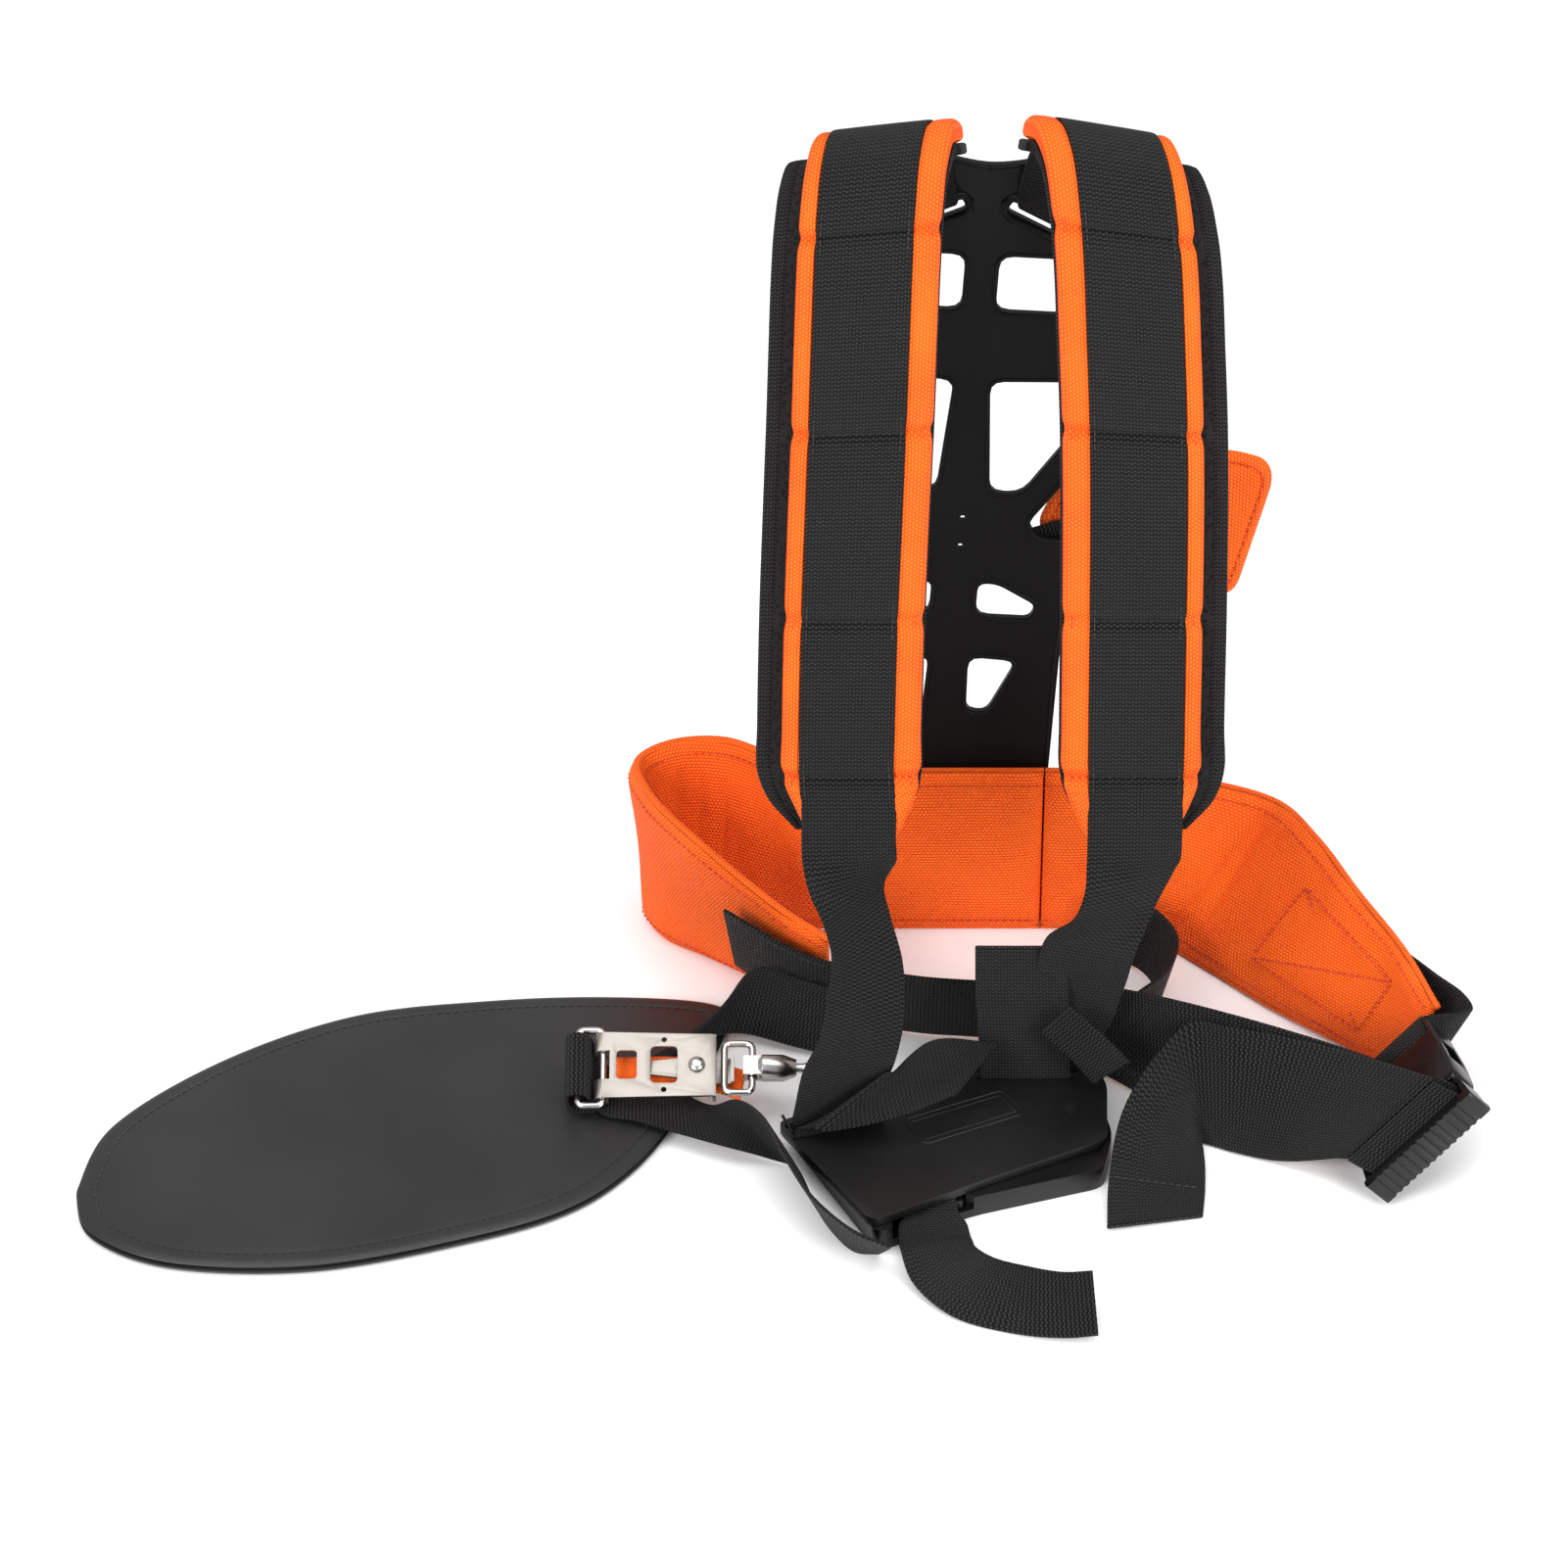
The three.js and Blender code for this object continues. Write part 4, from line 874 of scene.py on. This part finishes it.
def dome(name, ring, level, up, down, axis="z", step=4.0,
         inset_steps=(0.7, 2.0, 3.5, 4.6, 5.7, 9.0), stitched=4.6):
    """A closed flat pad from an outline: rings step inwards from the edge, then shrink to the middle.
    Returns it with a mask of its stitched points."""
    place = lambda x, y, high: (x, y, high) if axis == "z" else (x, high, y)
    ring = resample(ring, step)
    centre = ring.mean(0)
    loops, heights = [ring], [0.10]
    for depth in inset_steps:
        loop = ring_inset(ring, depth)
        for _ in range(int(depth)):
            loop = (loop * 2 + np.roll(loop, 1, 0) + np.roll(loop, -1, 0)) / 4
        loops.append(loop)
        seam = 0.55 + 0.45 * min(1, abs(depth - stitched) / 1.1)
        heights.append(min(1.0, (0.25 + depth / 4.0)) * seam)
    inner = loops[-1]
    for share in (0.93, 0.84, 0.7, 0.54, 0.38, 0.22, 0.1):
        loops.append(centre + (inner - centre) * share)
        heights.append(1.0)
    n = len(ring)
    verts, held = [], []
    for side, reach in ((1, up), (-1, down)):
        for loop, high in zip(loops, heights):
            verts += [place(x, y, level + side * high * reach) for x, y in loop]
            held += [high < 0.97] * n
        verts.append(place(*centre, level + side * reach))
        held.append(False)
    per = len(loops) * n + 1
    faces = []
    for base in (0, per):
        last = base + (len(loops) - 1) * n
        for row in range(base, last, n):
            faces += [[row + i, row + (i + 1) % n, row + n + (i + 1) % n, row + n + i] for i in range(n)]
        faces += [[last + i, last + (i + 1) % n, base + per - 1] for i in range(n)]
    faces += [[i, (i + 1) % n, per + (i + 1) % n, per + i] for i in range(n)]
    uv = [(v[0], v[1] if axis == "z" else v[2]) for v in verts]
    return face_out(new_mesh(name, verts, faces, uv)), np.array(held)


load_pad()
load_strap = [((x, 2.8, z), (-0.3, 0, 0.95)) for x, z in ((150, 213), (126, 205), (102, 197))]
strap("load_strap_web", "load_strap", load_strap, 18.6, wave=0)

# ---------------------------------------------------------------- waist webbing and the other straps
WAIST_UPPER = [
    (-27, -77, 58), (0, -93, 50), (14, -101, 48), (32, -108, 48), (62, -116, 48), (100, -120, 48),
    (140, -127, 51), (172, -133, 48), (232, -161, 47), (280.7, -196.8, 50.5)]
WAIST_LOWER = [
    (-22, -53, 11), (0, -69, 4), (14, -79, 1.6), (32, -85, 1.4), (62, -93, 1.4), (100, -99, 1.4),
    (140, -123, 1.4), (176, -157, 1.4), (214, -185, 2), (244.6, -205, 13.9)]
TAIL_UPPER = [
    (280.7, -201.6, 54.8), (236, -168, 48), (197, -153, 47), (179, -148, 46), (164, -160, 38),
    (148, -183, 24), (141, -212, 9), (139, -240, 3)]
TAIL_LOWER = [
    (244.6, -209.8, 18.2), (216, -192, 3), (196, -183, 1.4), (184, -177, 1.4), (184, -184, 2.4),
    (184, -195, 3), (183, -212, 2.2), (181, -230, 1.6)]

WAIST_WEB, SIDE_WEB, HEM = 52, 31, 24  # webbing widths, and the tail's hem from its end
waist = strap("waist_strap", "waist_webbing", (WAIST_UPPER, WAIST_LOWER), WAIST_WEB)
tail = strap("waist_tail_strap", "waist_tail", (TAIL_UPPER, TAIL_LOWER), WAIST_WEB, rows_per=10)
hem_row = int(np.argmin(np.abs(tail.length - (tail.length[-1] - HEM))))
hem = both_faces(across_band, tail, hem_row, 0.04, 0.96, height=0.95)
stitches("tail_hem", hem, THREAD_BLACK, lift=0.1)
sewn = []
for s in (0.06, 0.94):
    sewn += both_faces(on_band, waist, s, height=0.95, rows=range(4, 20))
stitches("waist_stitches", sewn, THREAD_BLACK, lift=0.1)

CHAIN_TILT = math.radians(28)
CHAIN_PIN = np.array([-80, -149, 22.0])
CHAIN = np.array([[1, 0, 0], [0, math.cos(CHAIN_TILT), math.sin(CHAIN_TILT)],
                  [0, -math.sin(CHAIN_TILT), math.cos(CHAIN_TILT)]])  # rows are the chain's axes


def from_chain(points):
    """Points on the hook chain's own axes, X along it and Z up off the pad, on the layout's axes."""
    return np.asarray(points, float) @ CHAIN + CHAIN_PIN


bar_across = tuple(CHAIN[1])
round_bar = [(tuple(from_chain((x - 11, 0, z))), bar_across)
             for x, z in ((-5, 0), (-2.2, 4.2), (2.6, 3.8), (4.8, 0), (5.6, -3.4))]
HIP_STRAP = [
    ((34, -113, 16.5), (0, 0.3, 0.95)), ((6, -101, 18), (0.1, 0.45, 0.88)),
    ((-18, -93, 19), (0.3, 0.6, 0.74)),
    ((-38, -108, 12.5), (0.55, 0.8, 0.2)), ((-56, -128, 8.6), (0.4, 0.9, 0.02)),
    ((-72, -143, 8.1), (0.15, 0.98, 0)),
    ((-84, -148, 8.6), (0, 1, 0.03)), ((-94, -149, 14), (0, 0.94, 0.34)), *round_bar,
    ((-79.5, -151, 11.6), (0, 0.98, 0.2)), ((-66, -156, 9.9), (0, 1, 0.02)),
    ((-46, -166, 9.9), (-0.05, 1, 0)),
    ((-28, -176, 10), (-0.3, 0.95, 0.05)), ((-13, -183, 13.5), (-0.5, 0.6, 0.6)),
    ((-3, -194, 15.5), (-0.45, 0, 0.9)),
    ((6, -220, 15.5), (-0.42, -0.1, 0.9)), ((17, -246, 14.5), (-0.3, -0.35, 0.87)),
    ((31, -263, 13), (0, -0.6, 0.78)),
    ((43, -267, 12), (0.15, -0.7, 0.65))]
strap("hip_strap_web", "hip_strap", HIP_STRAP, SIDE_WEB, rows_per=7, wave=0.08)

PULL = [
    ((64, -223, 5.8), (1, 0, 0), 20), ((64, -223.2, 8), (1, 0, 0), 20), ((64, -225, 9.6), (1, 0, 0), 20),
    ((64, -229, 9.6), (1, 0, 0), 20), ((64, -234, 7.6), (1, 0, 0), 22), ((64, -242, 7), (1, 0, 0), 29),
    ((64.5, -252, 7), (1, 0.05, 0)), ((65, -264, 12), (0.98, 0.1, 0.1)),
    ((68, -276, 11), (0.85, 0.3, 0.35)),
    ((80, -290, 10), (0.55, 0.6, 0.5)), ((100, -298, 9.5), (0.1, 0.82, 0.5)),
    ((118, -302, 10), (-0.03, 0.9, 0.42)),
    ((131, -302, 11), (-0.05, 0.92, 0.4))]
strap("chest_pull_strap", "chest_strap", PULL, SIDE_WEB, body="chest_release", wave=0.1)
KEEPER = [((119, -154, 52), (0.6, -0.1, 0.75)), ((132, -158, 41), (0.68, -0.1, 0.72)),
          ((144, -159, 27), (0.8, 0, 0.6))]
strap("keeper_strap", "chest_keeper", KEEPER, 20, rows_per=10)
REAR = [
    ((150, -33, 16.5), (0.1, 0.2, 0.97)), ((164, -38, 16.5), (0.2, 0.2, 0.96)),
    ((174, -58, 16.5), (0.3, 0, 0.95)),
    ((170, -84, 16.5), (0.2, -0.1, 0.97)), ((157, -101, 16.5), (0.1, -0.2, 0.97))]
strap("waist_rear_web", "waist_rear_strap", REAR, SIDE_WEB, rows_per=10)
TAPE_ROUTE = [
    ((4, 0, -4.6), (0, 1, 0)), ((12, 0, -4.2), (0, 1, 0)), ((24, 0, -3.8), (0, 1, 0)),
    ((38, 0, -4.8), (0, 1, 0)),
    ((52, -2, -6.6), (0, 1, 0)), ((62, -5, -7.6), (0.2, 1, 0))]
tape_stations = [(tuple(from_chain(p)), tuple(np.array(a) @ CHAIN)) for p, a in TAPE_ROUTE]
strap("orange_release_tape", "release_tape", tape_stations, 15, TAPE, "bracket", thickness=1.2)

# ---------------------------------------------------------------- hip pad
HIP_OUTLINE = [
    (-307, -218), (-296, -170), (-252, -121), (-195, -86), (-134, -74), (-80, -71), (-34, -76), (-26, -92),
    (-44, -152), (-64, -196), (-92, -228), (-134, -249), (-200, -269), (-262, -267), (-298, -246)]


def uniform_loop(points, samples):
    """A uniform spline through the points and back to the first, with a corner where it closes."""
    p = np.array([*points, points[0]], float)
    q = np.vstack([p[0], p, p[-1]])
    at = np.linspace(0, len(p) - 1, samples, endpoint=False)
    i = np.minimum(at.astype(int), len(p) - 2)
    t = (at - i)[:, None]
    a, b, c, d = (q[i + k] for k in range(4))
    return 0.5 * (2 * b + (c - a) * t + (2 * a - 5 * b + 4 * c - d) * t**2 + (3 * b - a - 3 * c + d) * t**3)


HIP_RING = uniform_loop(HIP_OUTLINE, 160)
for layer, level in (("backing", 2.0), ("cover", 5.3)):
    steps = (0.5, 1.3, 3.0, 6.9, 8.0, 9.1)
    top, _ = dome(f"hip_{layer}", HIP_RING, level, 1.5, 1.4, step=5.0, inset_steps=steps, stitched=8)
    dress(finer(top), LEATHER, replaces=["hip_pad" if layer == "cover" else "hip_pad_backing"])
seam = ring_inset(resample(HIP_RING, 3.0), 8.1)
seam = np.vstack([seam, seam[:1]])
stitches("hip_stitches", [([(x, y, 6.5) for x, y in seam], [(0, 0, 1)] * len(seam))], THREAD_BLACK,
         pitch=4.0, length=2.9, thread=0.65, lift=0.0)

# ---------------------------------------------------------------- moulded plates
for node in ("chest_plate", "chest_base", "back_plate"):
    moulding = softened(node, 0 if node == "back_plate" else 0.7, 3)
    dress(moulding, {"chest_plate": PLASTIC, "chest_base": GLOSSY, "back_plate": PLATE}[node], None)
dress(softened("release_tongue", 0.5, 2), PLASTIC, None)

PLATE_LEAN, PLATE_FOOT = math.radians(3.3), 66


def from_plate(points, y):
    """Points (x, height) on the leaning plate, at depth y."""
    c, s = math.cos(PLATE_LEAN), math.sin(PLATE_LEAN)
    return [(PLATE_FOOT + x * c + z * s, y, -x * s + z * c) for x, z in points]


WINDOWS = [
    ([(7.5, 322), (44, 322), (44, 349), (7.5, 349)], 6),
    ([(8, 287), (47, 289), (47, 264), (26, 231), (12, 231)], 6),
    ([(30, 216), (50, 246), (50, 209), (36, 209)], 6),
    ([(10.5, 184), (19, 184), (37, 174), (35, 167), (10.5, 167)], 6),
    ([(9, 145), (31, 144), (19, 116), (10, 117)], 6)]
STRAP_SLOT = [(10.5, 376), (53, 356), (51, 351.5), (9, 371.5)]
rims = []
for flip in (1, -1):
    for corners, radius in WINDOWS:
        ring = ring_inset(rounded([(x * flip, z) for x, z in corners], radius, 5), -1.3)
        rims.append(tube("rim", from_plate(ring, -1.45), 0.75, 8, loop=True))
    ring = ring_inset(resample(rounded([(x * flip, z) for x, z in STRAP_SLOT], 2.4, 4), 2.0), -2.6)
    rims.append(tube("rim", from_plate(ring, -1.5), 1.7, 10, loop=True))
    ridge = [(x * flip, z) for x, z in ((9, 374), (13, 381), (26, 388), (34, 393))]
    rims.append(tube("rim", from_plate(ridge, -1.4), 0.9, 8))
edge = [(50, 90), (50, 160), (58, 225), (62, 300), (62, 372), (50, 392), (23, 397), (11, 394), (0, 392.6)]
edge = [(x - (1.6 if x > 5 else 0), z - (1.5 if z > 380 else 0)) for x, z in edge]
for flip in (1, -1):
    line = spline([(x * flip, 0, z) for x, z in edge], np.linspace(0, 1, 120))
    rims.append(tube("rim", from_plate(line[:, [0, 2]], -1.3), 0.8, 8))
dress(merge("plate_rims", rims), PLATE)

CHEST_TOP, PANEL_TURN = 15.0, 0.34  # height of the chest plate's face, and its turn in radians
emboss = []
panel = np.array([(52, -178), (96, -156), (106, -173), (61, -196)], float)
ring = resample(rounded(panel, 2.5, 4), 2.5)
for outline, radius in ((ring, 0.32), (ring_inset(ring, 3.0), 0.2)):
    emboss.append(tube("line", [(x, y, CHEST_TOP) for x, y in outline], radius, 6, loop=True))
c, s = math.cos(PANEL_TURN), math.sin(PANEL_TURN)
for x, y in ((1.5, -181), (44, -166)):
    line = [(x - t * s, y + t * c, CHEST_TOP) for t in np.linspace(-6.5, 6.5, 8)]
    emboss.append(tube("line", line, 0.7, 8))
dress(merge("chest_emboss", emboss), PLASTIC)

# ---------------------------------------------------------------- steel hardware
def wire_ring(name, node, x0, x1, half, bend, body):
    """A wire ring bent to a rounded rectangle, butt-welded on one side."""
    flat = rounded([(x0, -half), (x1, -half), (x1, half), (x0, half)], bend, 6)
    line = from_chain([(x, y, 0) for x, y in resample(flat, 1.1)])
    ring = tube(name, line, 1.6, 16, loop=True)
    dress(ring, CHROME, body, [node])


wire_ring("bracket_wire_ring", "bracket_ring", -11, 0, 18.5, 3.0, "ring")
wire_ring("wire_loop_ring", "wire_loop", 53.6, 66, 12, 3.4, "loop")
for node, width in (("release_bracket", 0.28), ("release_lever", 0.25), ("hook_gate", 0.3)):
    dress(softened(node, width, 2), NICKEL, None)
dress(softened("gate_pin", 0.15, 1), CHROME, None)


def turned(name, profile, sides, place):
    """A lathe-turned solid from its profile of (along, radius); place gives a point's chain axes."""
    angles = [2 * math.pi * k / sides for k in range(sides)]
    verts = [place(along, radius * math.cos(a), radius * math.sin(a))
             for along, radius in profile for a in angles]
    last = (len(profile) - 1) * sides
    faces = []
    for row in range(0, last, sides):
        for k in range(sides):
            m = (k + 1) % sides
            faces.append([row + k, row + m, row + sides + m, row + sides + k])
    faces += [list(range(sides)), [last + k for k in range(sides)]]
    return face_out(new_mesh(name, from_chain(verts), faces))


RIVET_X, SHANK_X = 41.5, 68.5
# the rivet's domed head above the sheet, its shank and its flat head under the lever
RIVET = [(-2.6, 3.0), (-2.5, 3.2), (-1.7, 3.2), (-1.6, 1.7), (4.0, 1.7), (4.2, 3.5), (4.6, 3.6), (5.2, 3.1),
         (5.7, 2.0), (5.95, 0.8)]
rivet = turned("lever_rivet_head", RIVET, 28, lambda along, p, q: (RIVET_X + p, q, along))
dress(rivet, CHROME, "bracket", ["lever_rivet"])
dress(softened("swivel_barrel", 0.35, 3, 24), CHROME, None)


def hook():
    """The snap hook: a forged hook on a round shank."""
    shank = [(4, 2.3), (4.3, 2.7), (8, 2.8), (8.6, 2.1), (20, 2.1), (22, 2.6), (24, 3.5), (26, 3.7),
             (27.5, 3.0), (28, 2.2)]
    pin = turned("pin", shank, 32, lambda along, p, q: (SHANK_X + along, p, q))
    line = [(94, 0, 0), (97, 6, 0), (102, 11, 0), (110, 13, 0), (118, 10.5, 0), (123, 4, 0), (123, -4, 0),
            (119, -10, 0), (113.5, -12, 0)]
    u = np.linspace(0, 1, 72)
    path = spline(line, u)
    radius = 2.35 + 0.45 * np.sin(u * math.pi) - 0.5 * np.clip((u - 0.88) / 0.12, 0, 1)
    spine = tube("spine", from_chain(path), radius * 0.96, 18)
    return merge("snap_hook_forging", [pin, spine])


dress(hook(), CHROME, "hook", ["snap_hook"])
cheek = []  # the two flat cheeks that carry the gate's pin
for z in (-1.75, 1.75):
    flat = rounded([(92.6, -12.6), (96.5, -12.6), (96.7, 0.5), (92.6, 0.5)], 1.6, 4)
    n = len(flat)
    verts = [(x, y, z - 0.5) for x, y in flat] + [(x, y, z + 0.5) for x, y in flat]
    faces = [list(range(n))[::-1], list(range(n, 2 * n))]
    faces += [[i, (i + 1) % n, n + (i + 1) % n, n + i] for i in range(n)]
    cheek.append(face_out(new_mesh("cheek", from_chain(verts), faces, smooth=False)))
dress(merge("hook_cheeks", cheek), NICKEL, "hook")

# ---------------------------------------------------------------- buckle
for node, width in (("buckle_plug", 0.7), ("buckle_prong_left", 0.6),
                    ("buckle_prong_right", 0.6), ("buckle_socket", 0.9)):
    dress(softened(node, width, 3), GLOSSY, None)
BAR_ALONG = unit((0.694, 0.158, 0.702))
to_wing = np.array((-0.05, 0.98, 0.1))
TO_WING = unit(to_wing - BAR_ALONG * (to_wing @ BAR_ALONG))
BUCKLE = np.array([BAR_ALONG, TO_WING, np.cross(BAR_ALONG, TO_WING)])
BUCKLE_BAR = np.array([277, -213, 28.8])


def from_buckle(points):
    """Points on the buckle's own axes, X along its bar and Y towards the wing, on the layout's axes."""
    return np.asarray(points, float) @ BUCKLE + BUCKLE_BAR


BAR_TURN = [(14, 11), (10.4, 9.2), (8.5, 6), (8.1, 1), (7.2, -3), (4.8, -4.1), (2.4, -3), (1.45, 1),
            (1.5, 6),
            (4.2, 10.8), (9, 14.4)]
turn = [(tuple(from_buckle((-0.6 * max(0, z - 7), y, z))), tuple(BAR_ALONG)) for y, z in BAR_TURN]
strap("waist_turn_strap", "waist_webbing_turn", turn, WAIST_WEB, body="plug", rows_per=7, wave=0)
SOCKET_TURN = [(0, 63, 4.6), (0, 56, 4.4), (0, 52.2, 3.2), (0, 51.2, 0),
               (0, 52.4, -3.4), (0, 57, -4.2), (0, 61, -3.6)]
ON_WING = [
    ((268, -98, 27), (0.4, -0.1, 0.9)), ((281, -113, 26), (0.35, -0.15, 0.92)),
    ((291, -128, 25.5), (0.35, -0.1, 0.92)), ((292.5, -139.5, 26), (0.4, -0.1, 0.9)),
    ((284, -146, 28), (0.5, 0, 0.85))]
anchor = ON_WING + [(tuple(from_buckle(p)), tuple(BAR_ALONG)) for p in SOCKET_TURN]
strap("socket_strap", "socket_webbing", anchor, WAIST_WEB, wave=0)

# the anchor's sewing on the wing: a box with a cross in it, seen on the wing's inner face
row_at = lambda x: int(np.argmin(np.abs((WING_RIGHT.a[:, 0] + WING_RIGHT.b[:, 0]) / 2 - x)))
low_row, high_row = row_at(228), row_at(268)
INNER_FACE = 4.6  # from the wing's middle to its inner face
box = [on_band(WING_RIGHT, s, INNER_FACE, [row])[0][0]
       for row, s in ((low_row, 0.22), (high_row, 0.22), (high_row, 0.78), (low_row, 0.78))]
sewing = []
for start, end in ((0, 1), (1, 2), (2, 3), (3, 0), (0, 2), (1, 3)):
    line = [box[start] + (box[end] - box[start]) * t for t in np.linspace(0, 1, 16)]
    sewing.append((line, [-WING_RIGHT.normal[(low_row + high_row) // 2]] * 16))
stitches("wing_box_stitches", sewing, THREAD_ORANGE, thread=0.95, lift=1.1)

# ---------------------------------------------------------------- floor, light and camera
bpy.ops.mesh.primitive_plane_add(size=12, location=(0, 0, 0))
floor = bpy.context.object
floor.name = "floor"
ground = Graph("pale_floor", 0.55)
haze = ground.noise(ground.object, 3.0, 2.0)
pale = ground.blend(haze, (0.86, 0.86, 0.86, 1), (0.9, 0.9, 0.9, 1))
ground.finish(pale, ground.span(haze, 0.3, 0.7, 0.5, 0.62))
floor.data.materials.append(ground.material)

world = bpy.data.worlds.new("studio")
bpy.context.scene.world = world
world.use_nodes = True
world.node_tree.nodes["Background"].inputs["Color"].default_value = (1, 1, 1, 1)
world.node_tree.nodes["Background"].inputs["Strength"].default_value = 0.55
bpy.context.scene.view_settings.view_transform = "Standard"


def softbox(name, place, size, power, target=(0.03, 0.0, 0.15)):
    """A rectangular area light facing the harness."""
    light = bpy.data.lights.new(name, "AREA")
    light.shape, light.size, light.energy = "RECTANGLE", size[0], power
    light.size_y = size[1]
    obj = bpy.data.objects.new(name, light)
    bpy.context.scene.collection.objects.link(obj)
    obj.location = place
    obj.rotation_euler = (Vector(target) - Vector(place)).to_track_quat("-Z", "Y").to_euler()


softbox("overhead", (0.0, -0.2, 2.2), (2.4, 1.8), 36)
softbox("front_left", (-1.5, -1.9, 1.3), (1.2, 1.2), 64)
softbox("front_right", (1.6, -1.7, 1.1), (1.2, 1.2), 50)

camera = bpy.data.cameras.new("camera")
camera.lens, camera.sensor_width = 130.06, 36
camera.clip_start, camera.clip_end = 0.05, 50
viewer = bpy.data.objects.new("camera", camera)
bpy.context.scene.collection.objects.link(viewer)
VIEW_FROM, VIEW_AT = (0, -2180.5, 1491.1), (0, 0, 75)  # on the layout's axes
viewer.location = Vector((np.array(VIEW_FROM) + ORIGIN) * MM)
aim = Vector((np.array(VIEW_AT) + ORIGIN) * MM)
viewer.rotation_euler = (aim - viewer.location).to_track_quat("-Z", "Y").to_euler()
bpy.context.scene.camera = viewer
